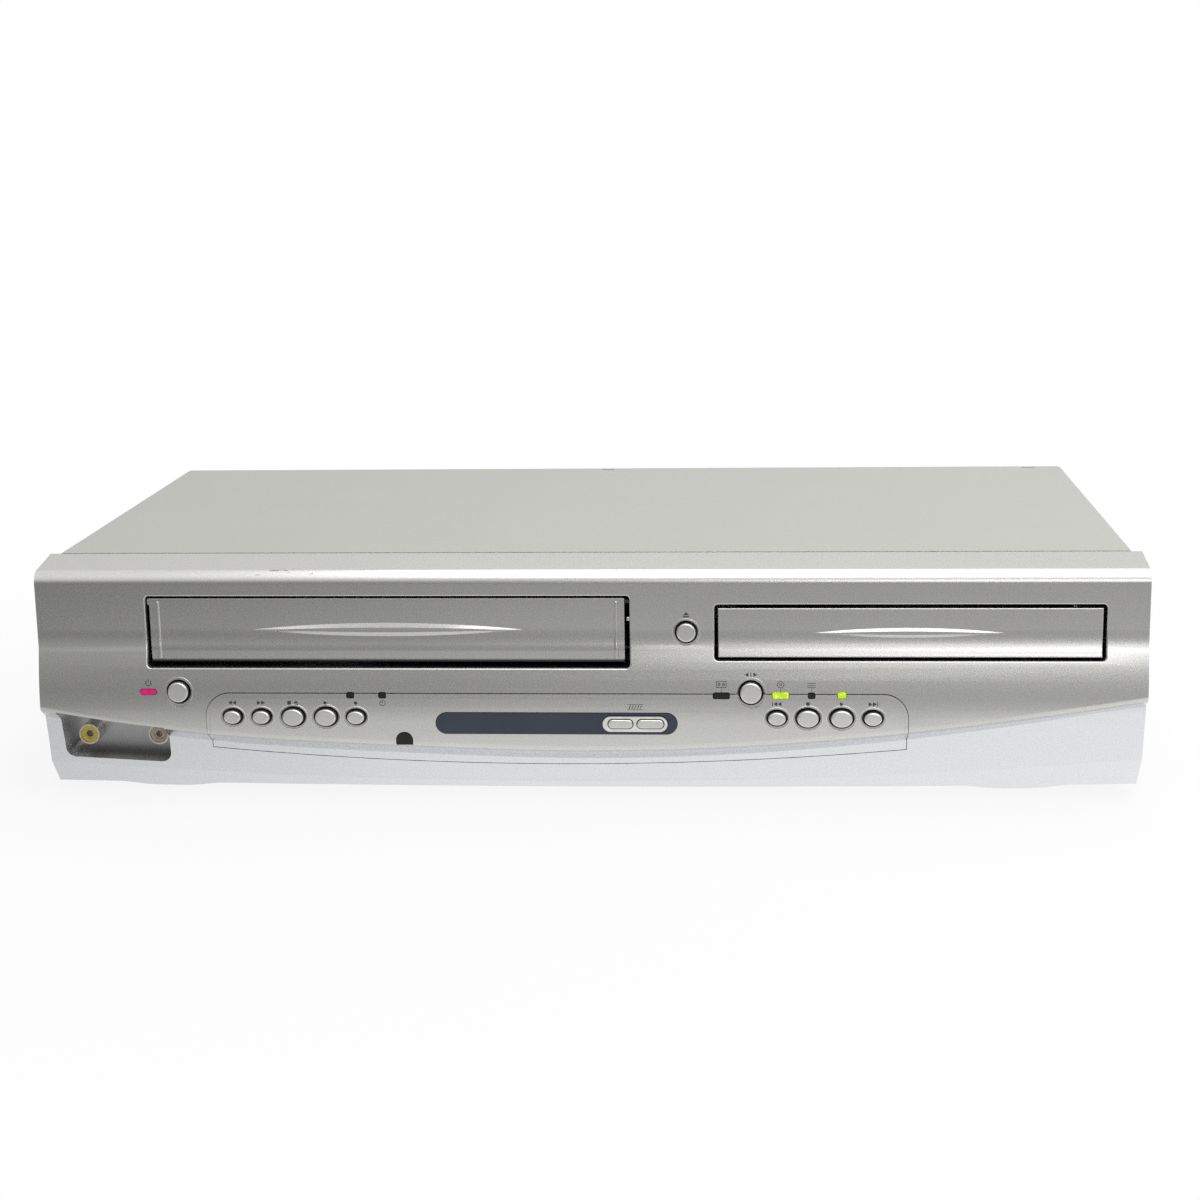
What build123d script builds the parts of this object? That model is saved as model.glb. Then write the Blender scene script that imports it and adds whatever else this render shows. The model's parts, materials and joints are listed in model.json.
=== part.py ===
from build123d import *
import os
from math import cos, pi, sin, sqrt

# Model frame while building: X right from the middle, Y back from the cassette opening's plane, Z up from the
# surface that the player stands on. At the end every piece moves along Y so that the whole is centred.

# ---- overall sizes, mm ----
BEZEL_W = 435.0
BEZEL_TOP = 96.8
BEZEL_BOTTOM = 4.0
BEZEL_DEPTH = 19.8
COVER_W = 429.0
COVER_TOP = 97.0
COVER_DEPTH = 205.8
SHEET = 1.0
WALL = 2.5
FIT = 0.25

# ---- side profile of the bezel ----
FACE_Y = -3.0
BELLY_Y = -6.75
BELLY_Z = 34.0
KINK_Z = 63.0
KINK_R = 12.0
TOP_FALL = 3.5
TOP_ROUND = 5.2
LOW_TOP_Y = -1.6
LOW_MID_Y = 1.4
LOW_END_Y = 3.4
LOW_TOP_Z = 37.0
LOW_MID_Z = 23.0
LOW_END_Z = 9.0
LIP_SLOPE = 0.7
LIP_ROUND = 2.6
CHAMFER_SLOPE = 1.25

# Heights of the swooping lip and of the bottom crease, at stations across the width
SWOOP = (
    (-218.0, 38.7),
    (-150.0, 29.5),
    (-66.0, 24.9),
    (-8.0, 23.3),
    (75.0, 26.1),
    (150.0, 33.7),
    (218.0, 43.9),
)
CREASE = ((-218.0, 14.0), (-112.0, 8.8), (0.0, 7.0), (115.0, 9.8), (218.0, 16.1))

# ---- front feet bulges ----
BULGE_X = 170.5
BULGE_HALF = 22.5
BULGE_DROP = 1.7

# ---- cassette opening and flap ----
SLOT_X0 = -173.5
SLOT_X1 = 18.0
SLOT_Z0 = 55.4
SLOT_Z1 = 84.1
SLOT_R = 1.5
COLLAR = 2.0
COLLAR_DEPTH = 6.0
FLAP_GAP_L = 1.2
FLAP_GAP_R = 2.0
FLAP_GAP_B = 1.9
FLAP_GAP_T = 1.1
FLAP_Y = -1.5
FLAP_T = 2.2
FLAP_PIN_R = 1.2
FLAP_PIN_CLEAR = 0.15
FLAP_PIN_IN = 1.5
FLAP_PIN_DROP = 1.6
FLAP_PIN_BACK = 2.6
SWOOSH_W = 107.5
SWOOSH_H = 5.4
SWOOSH_DY = 0.7
CROWN_W = 0.9
CROWN_H = 0.35
FLAP_RIB = 0.9
FLAP_RIB_IN = 3.4
PLATE_ROUND = 0.4
MOUTH_ROUND = 0.6

# ---- disc opening and tray door ----
DISC_X0 = 51.0
DISC_X1 = 201.3
DISC_Z0 = 58.4
DISC_Z1 = 80.6
DOOR_GAP = 1.4
DOOR_T = 2.6
DOOR_SWOOSH_W = 72.8
DOOR_SWOOSH_H = 3.9

# ---- control panel insert ----
PANEL_X0 = -150.3
PANEL_X1 = 125.9
PANEL_TOP = 45.6
PANEL_R = 9.5
PANEL_SIDE_Z = 21.3
PANEL_LOW_Z = 14.5
BEAD_W = 1.3
BEAD_H = 0.5
HOOK_X = (-120.0, -40.0, 20.0, 112.0)
HOOK_W = 8.0
HOOK_T = 1.5

# ---- stripe and tracking keys ----
STRIPE_X0 = -58.6
STRIPE_X1 = 36.3
STRIPE_Z = 33.8
STRIPE_H = 8.4
STRIPE_T = 1.2
STRIPE_PROUD = 0.25
KEYFRAME_X0 = 7.2
KEYFRAME_X1 = 32.6
KEYFRAME_H = 6.2
KEYFRAME_PROUD = 1.0

# ---- buttons: travel, clearances and how far they stand out ----
TRAVEL = 0.9
BUTTON_CLEAR = 0.85
KEY_CLEAR = 0.35
BEVEL_OUT = 0.65
BEVEL_DEEP = 0.5
BUTTON_PROUD = 1.7
FLANGE_OUT = 1.1
FLANGE_T = 1.0
STEM_R = 1.5
BOARD_Y = 15.0
SWITCH_T = 3.6
BOARD_T = 1.6

# name: x, z, width, height
ROUND = {
    "power_button": (-161.2, 46.1, 8.1, 8.1),
    "output_button": (65.1, 46.2, 8.3, 8.3),
    "open_close_button": (40.0, 69.7, 7.4, 7.4),
}
SMALL = (6.8, 5.2)
BIG = (8.3, 6.7)
ROW_Z = 36.1
TRANSPORT = {
    "rewind_button": (-139.8, SMALL),
    "fast_forward_button": (-128.2, SMALL),
    "stop_eject_button": (-115.5, BIG),
    "play_button": (-102.4, BIG),
    "record_button": (-90.4, SMALL),
    "skip_back_button": (75.2, SMALL),
    "dvd_stop_button": (87.2, BIG),
    "dvd_play_button": (100.3, BIG),
    "skip_forward_button": (112.4, SMALL),
}
KEYS = {
    "tracking_down_key": (14.2, 33.9, 9.6, 3.5),
    "tracking_up_key": (25.9, 33.9, 10.4, 3.5),
}

# ---- windows: x, z, width, height ----
DARK_WINDOWS = (
    (-92.4, 44.9, 2.7, 2.1),
    (-79.7, 44.9, 2.7, 2.1),
    (53.6, 45.0, 6.2, 2.2),
    (88.6, 45.1, 2.5, 2.1),
)
GREEN_WINDOWS = ((76.6, 45.1, 6.3, 2.3), (100.4, 45.2, 3.3, 2.2))
POWER_LENS = (-173.3, 46.05, 6.5, 2.1)
WINDOW_DEEP = 4.0
WINDOW_R = 0.6
IR_X = -71.4
IR_W = 6.3
IR_Z0 = 24.9
IR_Z1 = 29.9

# ---- front jack pocket ----
POCKET_X0 = -212.0
POCKET_X1 = -168.0
POCKET_Z0 = 15.6
POCKET_R = 4.0
POCKET_FLOOR_Y = 14.0
POCKET_FALL = 0.05
JACKS = {"front_video_jack": -202.3, "front_audio_jack": -173.7}
JACK_Z = 25.0
JACK_SHELL_R = 4.15
JACK_PIN_R = 1.45
JACK_REACH = 8.0
JACK_NECK_R = 3.8
JACK_SHOULDER = 0.3
JACK_NUT = 6.2

# ---- worked-out places ----
BASE_Z = BEZEL_BOTTOM + WALL + 0.2
COVER_Y0 = BEZEL_DEPTH + 0.2
REAR_Y = COVER_Y0 + COVER_DEPTH
COVER_X = COVER_W / 2
INNER_X = COVER_X - SHEET
SLOT_X = (SLOT_X0 + SLOT_X1) / 2
DISC_X = (DISC_X0 + DISC_X1) / 2
KINK_DEPTH = FACE_Y - BELLY_Y
BELLY_R = ((KINK_Z - BELLY_Z) ** 2 + KINK_DEPTH**2) / (2 * KINK_DEPTH)
FLAP_X0 = SLOT_X0 + FLAP_GAP_L
FLAP_X1 = SLOT_X1 - FLAP_GAP_R
FLAP_Z0 = SLOT_Z0 + FLAP_GAP_B
FLAP_Z1 = SLOT_Z1 - FLAP_GAP_T
FLAP_AXIS_Y = FLAP_Y + FLAP_PIN_BACK
FLAP_AXIS_Z = FLAP_Z1 - FLAP_PIN_DROP


def box(x0, x1, y0, y1, z0, z1):
    return Pos((x0 + x1) / 2, (y0 + y1) / 2, (z0 + z1) / 2) * Box(x1 - x0, y1 - y0, z1 - z0)


def along_x(sketch, x0, x1):
    """A sketch of (y, z), from x0 to x1."""
    return extrude(Plane.YZ.offset(x0) * sketch, x1 - x0)


def along_y(sketch, y0, y1):
    """A sketch of (x, z), from y0 to y1."""
    return extrude(Plane.XZ.offset(-y1) * sketch, y1 - y0)


def along_z(sketch, z0, z1):
    """A sketch of (x, y), from z0 to z1."""
    return extrude(Plane.XY.offset(z0) * sketch, z1 - z0)


def rod_x(x0, x1, y, z, r):
    return along_x(Pos(y, z) * Circle(r), x0, x1)


def rod_y(x, y0, y1, z, r):
    return along_y(Pos(x, z) * Circle(r), y0, y1)


def rod_z(x, y, z0, z1, r):
    return along_z(Pos(x, y) * Circle(r), z0, z1)


def face_y(z):
    """Where the bezel's front face lies at a height."""
    if z >= KINK_Z:
        return FACE_Y
    if z <= BELLY_Z:
        return BELLY_Y
    return BELLY_Y + BELLY_R - sqrt(BELLY_R**2 - (z - BELLY_Z) ** 2)


def lens(width, height):
    """A pointed oval: two arcs that meet at its ends."""
    left, right = (-width / 2, 0), (width / 2, 0)
    over = ThreePointArc(left, (0, height / 2), right)
    under = ThreePointArc(right, (0, -height / 2), left)
    return make_face(over + under)


def stadium(x0, x1, z, height):
    return Pos((x0 + x1) / 2, z) * SlotOverall(x1 - x0, height)


# ---- bezel ----
def upper_profile():
    rise = FilletPolyline(
        (FACE_Y, KINK_Z), (FACE_Y, BEZEL_TOP - TOP_FALL), (BEZEL_DEPTH, BEZEL_TOP), radius=TOP_ROUND
    )
    middle = (KINK_Z + BELLY_Z) / 2
    belly = ThreePointArc((BELLY_Y, BELLY_Z), (face_y(middle), middle), (FACE_Y, KINK_Z))
    low = BEZEL_BOTTOM + WALL
    rest = Polyline((BEZEL_DEPTH, BEZEL_TOP), (BEZEL_DEPTH, low), (BELLY_Y, low), (BELLY_Y, BELLY_Z))
    face = make_face(rise + belly + rest)
    kink = face.vertices().sort_by_distance((FACE_Y, KINK_Z))[0]
    return fillet(kink, KINK_R)


def lower_profile():
    front = ThreePointArc((LOW_TOP_Y, LOW_TOP_Z), (LOW_MID_Y, LOW_MID_Z), (LOW_END_Y, LOW_END_Z))
    rest = Polyline(
        (LOW_END_Y, LOW_END_Z),
        (LOW_END_Y, BEZEL_BOTTOM),
        (BEZEL_DEPTH, BEZEL_BOTTOM),
        (BEZEL_DEPTH, SLOT_Z0 - WALL),
        (LOW_TOP_Y, SLOT_Z0 - WALL),
        (LOW_TOP_Y, LOW_TOP_Z),
    )
    return make_face(front + rest)


def slanted(points, rise, edge, slope, start_y):
    """All that lies past a curve across the width, swept backwards along a falling line."""
    curve = Spline(*[(x, z + rise) for x, z in points])
    first, last = points[0][0], points[-1][0]
    rest = Polyline((last, points[-1][1] + rise), (last, edge), (first, edge), (first, points[0][1] + rise))
    sketch = Plane.XZ.offset(-start_y) * make_face(curve + rest)
    reach = BEZEL_DEPTH - start_y + WALL
    length = reach * sqrt(1 + slope**2)
    return extrude(sketch, length, dir=(0, 1, -slope))


def bezel_body(inset):
    """The bezel's outer form, or with an inset the space inside it."""
    half = BEZEL_W / 2 - inset
    upper = along_x(Pos(inset, -inset) * upper_profile(), -half, half)
    above = slanted(SWOOP, inset, 2 * BEZEL_TOP, LIP_SLOPE, BELLY_Y - WALL)
    lift = LIP_SLOPE * WALL
    upper = upper & Pos(0, 0, lift) * above
    lower = along_x(Pos(inset, inset) * lower_profile(), -half, half)
    return upper, lower


def chamfer_cut(rise):
    lift = CHAMFER_SLOPE * (LOW_END_Y - BELLY_Y + WALL)
    below = slanted(CREASE, lift, -BEZEL_TOP, CHAMFER_SLOPE, BELLY_Y - WALL)
    return Pos(0, 0, rise) * below


def panel_outline(out):
    """The control panel's edge as seen from the front, grown by out."""
    x0, x1, top = PANEL_X0 - out, PANEL_X1 + out, PANEL_TOP + out
    side = PANEL_SIDE_Z - out
    upper = FilletPolyline((x0, side), (x0, top), (x1, top), (x1, side), radius=PANEL_R + out)
    arc = ThreePointArc((x1, side), ((x0 + x1) / 2, PANEL_LOW_Z - out), (x0, side))
    return make_face(upper + arc)


def oval(x, z, width, height, out):
    return Pos(x, z) * Ellipse(width / 2 + out, height / 2 + out)


def button_cut(x, z, width, height):
    """The hole of a button with the bevel round its mouth."""
    y = face_y(z)
    hole = along_y(oval(x, z, width, height, BUTTON_CLEAR), y - WALL, y + 2 * WALL)
    mouth = Plane.XZ.offset(-(y - BEVEL_DEEP)) * oval(x, z, width, height, BUTTON_CLEAR + 2 * BEVEL_OUT)
    throat = Plane.XZ.offset(-(y + BEVEL_DEEP)) * oval(x, z, width, height, BUTTON_CLEAR)
    return hole + loft([mouth, throat])


def window_box(place, out, y0, y1):
    x, z, width, height = place
    return along_y(Pos(x, z) * RectangleRounded(width + 2 * out, height + 2 * out, WINDOW_R + out), y0, y1)


def power_window(out, y0, y1):
    x, z, width, height = POWER_LENS
    return along_y(stadium(x - width / 2 - out, x + width / 2 + out, z, height + 2 * out), y0, y1)


def arch(out):
    """The remote-control window's outline: upright sides under a half round."""
    half, spring = IR_W / 2 + out, IR_Z1 - IR_W / 2
    low = IR_Z0 - out
    sides = Polyline((IR_X - half, spring), (IR_X - half, low), (IR_X + half, low), (IR_X + half, spring))
    round_top = ThreePointArc((IR_X + half, spring), (IR_X, spring + half), (IR_X - half, spring))
    return make_face(sides + round_top)


def pocket_outline(out):
    x0, x1, low = POCKET_X0 - out, POCKET_X1 + out, POCKET_Z0 - out
    tilt = 1.2
    line = FilletPolyline(
        (x0, SLOT_Z0), (x0 + tilt, low + tilt), (x1, low - tilt), (x1, SLOT_Z0), radius=POCKET_R + out
    )
    return make_face(line + Line((x1, SLOT_Z0), (x0, SLOT_Z0)))


def opening(x0, x1, z0, z1, out):
    sheet = RectangleRounded(x1 - x0 + 2 * out, z1 - z0 + 2 * out, SLOT_R + out)
    return Pos((x0 + x1) / 2, (z0 + z1) / 2) * sheet


def ledge(rise, slope):
    """What lies above the swoop, kept where it crosses the belly, for a given fall towards the back."""
    return Pos(0, 0, slope * WALL) * slanted(SWOOP, rise, 2 * BEZEL_TOP, slope, BELLY_Y - WALL)


def bezel_skin():
    """The whole front moulding before the openings and the panel are cut."""
    upper, lower = bezel_body(0)
    lip = [
        e
        for e in upper.edges().filter_by(GeomType.BSPLINE)
        if e.bounding_box().max.Z < PANEL_TOP and e.bounding_box().max.Y < BELLY_Y + LIP_ROUND
    ]
    outer = fillet(ShapeList(lip), LIP_ROUND) + lower - chamfer_cut(0)
    inner_upper, inner_lower = bezel_body(WALL)
    inner = inner_upper + (inner_lower - chamfer_cut(WALL))
    return outer, outer - inner


def foot_bulge(x):
    """A shallow swelling of the bottom edge, its front running on from the chamfer."""
    x0, x1 = x - BULGE_HALF, x + BULGE_HALF
    shoulder = BULGE_HALF / 2
    low = BEZEL_BOTTOM - BULGE_DROP
    curve = Spline(
        (x0, BEZEL_BOTTOM),
        (x - shoulder, low + BULGE_DROP / 4),
        (x, low),
        (x + shoulder, low + BULGE_DROP / 4),
        (x1, BEZEL_BOTTOM),
        tangents=((1, 0), (1, 0)),
    )
    top = BEZEL_BOTTOM + WALL / 2
    rest = Polyline((x1, BEZEL_BOTTOM), (x1, top), (x0, top), (x0, BEZEL_BOTTOM))
    return along_y(make_face(curve + rest), BELLY_Y, BEZEL_DEPTH) - chamfer_cut(0)


def swoosh(x, z, width, height, y):
    """A low pointed swelling on a flat front, its sides sloping to a narrower crown."""
    foot = Plane.XZ.offset(-y) * (Pos(x, z) * lens(width, height))
    crown = Plane.XZ.offset(SWOOSH_DY - y) * (Pos(x, z) * lens(width * CROWN_W, height * CROWN_H))
    return loft([foot, crown], ruled=True)


def mouth_edges(solid, x0, x1, z0, z1):
    """The front edges of an opening in the bezel's flat face."""
    reach = MOUTH_ROUND + SLOT_R
    found = []
    for edge in solid.edges():
        low, high = edge.bounding_box().min, edge.bounding_box().max
        inside = low.X > x0 - FIT and high.X < x1 + FIT and low.Z > z0 - FIT and high.Z < z1 + FIT
        beside = high.X < x0 + reach or low.X > x1 - reach or high.Z < z0 + reach or low.Z > z1 - reach
        if inside and beside and high.Y < FACE_Y + FIT:
            found.append(edge)
    return ShapeList(found)


def all_windows(out, y0, y1):
    return [window_box(place, out, y0, y1) for place in DARK_WINDOWS + GREEN_WINDOWS]


def make_front():
    outer, skin = bezel_skin()
    front = BELLY_Y - WALL
    back = LOW_END_Y + 2 * WALL

    # The insert is cut from the same skin, so its faces run on from the bezel's
    panel = skin & along_y(panel_outline(0), front, back)
    rim = along_y(panel_outline(0) - panel_outline(-BEAD_W), front, back)
    above = box(PANEL_X0, PANEL_X1, front, FACE_Y, BELLY_Z - 2 * WALL, SLOT_Z0)
    panel = panel + (Pos(0, -BEAD_H, 0) * skin & rim & above)
    bezel = skin - along_y(panel_outline(FIT), front, back)

    # Collars behind the two openings, and the walls of the jack pocket
    for x0, x1, z0, z1 in ((SLOT_X0, SLOT_X1, SLOT_Z0, SLOT_Z1), (DISC_X0, DISC_X1, DISC_Z0, DISC_Z1)):
        collar = along_y(opening(x0, x1, z0, z1, COLLAR), FACE_Y + WALL / 2, COLLAR_DEPTH) & outer
        bezel = bezel + collar - along_y(opening(x0, x1, z0, z1, 0), front, back)
    pocket_wall = along_y(pocket_outline(COLLAR), front, POCKET_FLOOR_Y + COLLAR) - ledge(COLLAR, POCKET_FALL)
    bezel = bezel + (pocket_wall & outer)
    bezel = bezel - (along_y(pocket_outline(0), front, POCKET_FLOOR_Y) - ledge(0, POCKET_FALL))
    for x in JACKS.values():
        bezel = bezel - rod_y(x, POCKET_FLOOR_Y - WALL, POCKET_FLOOR_Y + 2 * WALL, JACK_Z, JACK_NECK_R + FIT)

    # Seats of the flap's pins
    pin = FLAP_PIN_R + FLAP_PIN_CLEAR
    reach = FLAP_PIN_IN + FLAP_PIN_CLEAR
    bezel = bezel - rod_x(SLOT_X0 - reach, SLOT_X0, FLAP_AXIS_Y, FLAP_AXIS_Z, pin)
    bezel = bezel - rod_x(SLOT_X1, SLOT_X1 + reach, FLAP_AXIS_Y, FLAP_AXIS_Z, pin)

    # Button holes
    for name, (x, z, width, height) in ROUND.items():
        cut = button_cut(x, z, width, height)
        bezel = bezel - cut
        if name == "output_button":
            panel = panel - cut
    for x, (width, height) in TRANSPORT.values():
        panel = panel - button_cut(x, ROW_Z, width, height)

    # Windows, the power lens and the remote-control window
    for cut in all_windows(FIT, front, back):
        bezel = bezel - cut
        panel = panel - cut
    bezel = bezel - power_window(FIT, front, back)
    panel = panel - along_y(arch(FIT), front, front + WINDOW_DEEP + 2 * WALL)

    # Seat of the stripe plate, and the hole of the key frame
    seat = BELLY_Y - STRIPE_PROUD + STRIPE_T
    recess = stadium(STRIPE_X0 - FIT, STRIPE_X1 + FIT, STRIPE_Z, STRIPE_H + 2 * FIT)
    key_hole = stadium(KEYFRAME_X0 - FIT, KEYFRAME_X1 + FIT, STRIPE_Z, KEYFRAME_H + 2 * FIT)
    panel = panel - along_y(recess, front, seat)
    panel = panel - along_y(key_hole, front, back)

    # Hooks that hold the insert behind the bezel's edge
    hook_y = face_y(PANEL_TOP + 2 * WALL) + WALL + 2 * FIT
    for x in HOOK_X:
        x0, x1 = x - HOOK_W / 2, x + HOOK_W / 2
        root = box(x0, x1, face_y(PANEL_TOP) + WALL / 2, hook_y + HOOK_T, PANEL_TOP - HOOK_W / 2, PANEL_TOP)
        hook = box(x0, x1, hook_y, hook_y + HOOK_T, PANEL_TOP - 1, PANEL_TOP + 2 * WALL)
        panel = panel + root + hook

    for side in (-1, 1):
        bezel = bezel + foot_bulge(side * BULGE_X)
    mouths = mouth_edges(bezel, SLOT_X0, SLOT_X1, SLOT_Z0, SLOT_Z1)
    mouths = mouths + mouth_edges(bezel, DISC_X0, DISC_X1, DISC_Z0, DISC_Z1)
    bezel = fillet(mouths, MOUTH_ROUND)
    return {"front_bezel": bezel, "control_panel": panel}


def make_flap():
    plate = box(FLAP_X0, FLAP_X1, FLAP_Y, FLAP_Y + FLAP_T, FLAP_Z0, FLAP_Z1)
    plate = fillet(plate.faces().sort_by(Axis.Y)[0].edges(), PLATE_ROUND)
    plate = plate + swoosh(SLOT_X, (FLAP_Z0 + FLAP_Z1) / 2 + FIT, SWOOSH_W, SWOOSH_H, FLAP_Y)
    rib_y = FLAP_Y + FLAP_RIB / 2
    for x in (FLAP_X0 + FLAP_RIB_IN, FLAP_X1 - FLAP_RIB_IN):
        plate = plate + rod_z(x, rib_y, FLAP_Z0 + 2 * FLAP_RIB, FLAP_Z1 - 2 * FLAP_RIB, FLAP_RIB)
        for z in (FLAP_Z0 + 2 * FLAP_RIB, FLAP_Z1 - 2 * FLAP_RIB):
            plate = plate + Pos(x, rib_y, z) * Sphere(FLAP_RIB)
    low = FLAP_AXIS_Z - FLAP_PIN_DROP
    ends = (
        (FLAP_X0, FLAP_X0 + 2, SLOT_X0 - FLAP_PIN_IN),
        (FLAP_X1 - 2, FLAP_X1, SLOT_X1 + FLAP_PIN_IN),
    )
    for x0, x1, pin in ends:
        ear = box(x0, x1, FLAP_Y + FLAP_T, FLAP_AXIS_Y + FLAP_PIN_R, low, FLAP_AXIS_Z + FLAP_PIN_R)
        plate = plate + ear + rod_x(min(x0, pin), max(x1, pin), FLAP_AXIS_Y, FLAP_AXIS_Z, FLAP_PIN_R)
    ring = Circle(FLAP_PIN_R + 0.8) - Circle(FLAP_PIN_R + 0.3)
    spring = along_x(Pos(FLAP_AXIS_Y, FLAP_AXIS_Z) * ring, SLOT_X0 + 0.4, FLAP_X0 - 0.1)
    return {"vcr_flap": plate, "flap_spring": spring}


def make_door():
    """The tray's door follows the same side profile as the bezel, set in its opening."""
    x0, x1 = DISC_X0 + DOOR_GAP, DISC_X1 - DOOR_GAP
    z0, z1 = DISC_Z0 + DOOR_GAP, DISC_Z1 - DOOR_GAP
    full = along_x(upper_profile(), x0, x1)
    front = full - Pos(0, DOOR_T, 0) * full
    door = front & box(x0, x1, BELLY_Y, DOOR_T, z0, z1)
    rim = []
    for edge in door.edges():
        middle = edge @ 0.5
        at_end = abs(middle.X - DISC_X) > (x1 - x0) / 2 - FIT
        at_side = middle.Z < z0 + FIT or middle.Z > z1 - FIT
        if middle.Y < face_y(middle.Z) + FIT and (at_end or at_side):
            rim.append(edge)
    door = fillet(ShapeList(rim), PLATE_ROUND)
    return door + swoosh(DISC_X, (z0 + z1) / 2, DOOR_SWOOSH_W, DOOR_SWOOSH_H, FACE_Y)


def lens_block(place, proud):
    y = face_y(place[1])
    return window_box(place, 0, y - proud, y + WINDOW_DEEP)


def make_trim():
    seat = BELLY_Y - STRIPE_PROUD
    stripe = along_y(stadium(STRIPE_X0, STRIPE_X1, STRIPE_Z, STRIPE_H), seat, seat + STRIPE_T - 0.1)
    gap = stadium(KEYFRAME_X0 - FIT, KEYFRAME_X1 + FIT, STRIPE_Z, KEYFRAME_H + 2 * FIT)
    stripe = stripe - along_y(gap, seat - 1, seat + WALL)
    ring = stadium(KEYFRAME_X0, KEYFRAME_X1, STRIPE_Z, KEYFRAME_H)
    for x, z, width, height in KEYS.values():
        ring = ring - Pos(x, z) * SlotOverall(width + 2 * KEY_CLEAR, height + 2 * KEY_CLEAR)
    ring = along_y(ring, BELLY_Y - KEYFRAME_PROUD, BELLY_Y + WALL - FIT)

    windows = Compound([lens_block(place, 0.1) for place in DARK_WINDOWS])
    greens = Compound([lens_block(place, 0.2) for place in GREEN_WINDOWS])
    y = face_y(POWER_LENS[1])
    infrared = along_y(arch(0), BELLY_Y - 0.2, BELLY_Y + WINDOW_DEEP)
    return {
        "stripe_plate": stripe,
        "tracking_key_frame": ring,
        "indicator_windows": windows,
        "green_status_lenses": greens,
        "power_lens": power_window(0, y - 0.3, y + WINDOW_DEEP),
        "remote_window": infrared,
    }


def make_button(x, z, width, height):
    """A cap that comes through its hole, a flange that keeps it in, and a stem towards its switch."""
    reach = BUTTON_CLEAR + FLANGE_OUT
    flange_y = face_y(z + height / 2 + reach + WALL) + WALL + 0.3
    front = face_y(z) - BUTTON_PROUD
    cap = along_y(oval(x, z, width, height, 0), front, flange_y)
    cap = fillet(cap.edges().group_by(Axis.Y)[0], 0.7)
    flange = along_y(oval(x, z, width, height, reach), flange_y, flange_y + FLANGE_T)
    stem = rod_y(x, flange_y + FLANGE_T, BOARD_Y - SWITCH_T - TRAVEL - 0.35, z, STEM_R)
    return cap + flange + stem


def make_key(x, z, width, height):
    flange_y = BELLY_Y + WALL + 0.35
    front = BELLY_Y - BUTTON_PROUD
    cap = along_y(Pos(x, z) * SlotOverall(width, height), front, flange_y)
    cap = fillet(cap.edges().group_by(Axis.Y)[0], 0.5)
    flange = box(x - width / 2, x + width / 2, flange_y, flange_y + FLANGE_T, z - height, z + height)
    stem = rod_y(x, flange_y + FLANGE_T, BOARD_Y - SWITCH_T - TRAVEL - 0.35, z, STEM_R)
    return cap + flange + stem


def make_buttons():
    made = {name: make_button(*place) for name, place in ROUND.items()}
    for name, (x, (width, height)) in TRANSPORT.items():
        made[name] = make_button(x, ROW_Z, width, height)
    made.update({name: make_key(*place) for name, place in KEYS.items()})
    return made


def all_switches():
    places = [(x, z) for x, z, _, _ in ROUND.values()] + [(x, z) for x, z, _, _ in KEYS.values()]
    return places + [(x, ROW_Z) for x, _ in TRANSPORT.values()]


def make_jack(x, back):
    """A phono socket facing the front: shell, insulator with its bore, and the block behind the wall."""
    front = back - JACK_REACH
    rear = back - JACK_SHOULDER
    shell = along_y(Pos(x, JACK_Z) * (Circle(JACK_SHELL_R) - Circle(JACK_SHELL_R - 0.6)), front, rear)
    core = along_y(Pos(x, JACK_Z) * (Circle(JACK_SHELL_R - 0.6) - Circle(JACK_PIN_R)), front + 1.0, rear)
    block = box(x - JACK_NUT, x + JACK_NUT, back + COLLAR + 0.2, back + COLLAR + 8, JACK_Z - 6, JACK_Z + 6)
    neck = rod_y(x, rear, back + COLLAR + 0.2, JACK_Z, JACK_NECK_R)
    return shell + core + neck + block


def make_front_board():
    y0, y1 = BOARD_Y, BOARD_Y + BOARD_T
    x0, x1 = POCKET_X1 + COLLAR + 0.5, 132.0
    board = box(x0, x1, y0, y1, 20.0, SLOT_Z0 - COLLAR - 0.6)
    tab_x = ROUND["open_close_button"][0]
    board = board + box(tab_x - 8, tab_x + 8, y0, y1, SLOT_Z0 - COLLAR - 1, 80.0)
    for x, z in all_switches():
        board = board + box(x - 3, x + 3, y0 - SWITCH_T, y0, z - 2.9, z + 2.9)
    for x in (x0 + 12, -60.0, 50.0, x1 - 8):
        leg = box(x - 2, x + 2, y1, y1 + 5, BASE_Z + SHEET, 30.0)
        board = board + leg
    return board

# ---- enclosure details ----
PAN_X = INNER_X - FIT
PAN_RIM = 14.0
PAN_TONGUE = 8.0
REAR_T = 1.0
NOTCH_X = (-4.4, 198.0)
NOTCH_W = 6.3
NOTCH_Y = 3.6
NOTCH_L = 1.6
LOUVRES = 14
LOUVRE_Y = 96.0
LOUVRE_PITCH = 6.0
LOUVRE_W = 2.4
LOUVRE_Z0 = 30.0
LOUVRE_Z1 = 44.0
FOOT_R = 11.0
FOOT_X = 180.0
FOOT_FRONT_Y = 60.0
FOOT_REAR_Y = 210.0
SCREW_R = 1.5
SCREW_HEAD_R = 3.2
SCREW_HEAD_T = 1.8
VENT_W = 2.2
VENT_PITCH = 5.5
SCREWS_REAR = ((-205.0, 88.0), (0.0, 88.0), (205.0, 88.0))
SCREWS_SIDE_Y = (75.0, 190.0)
SCREWS_SIDE_Z = 14.0

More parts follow.
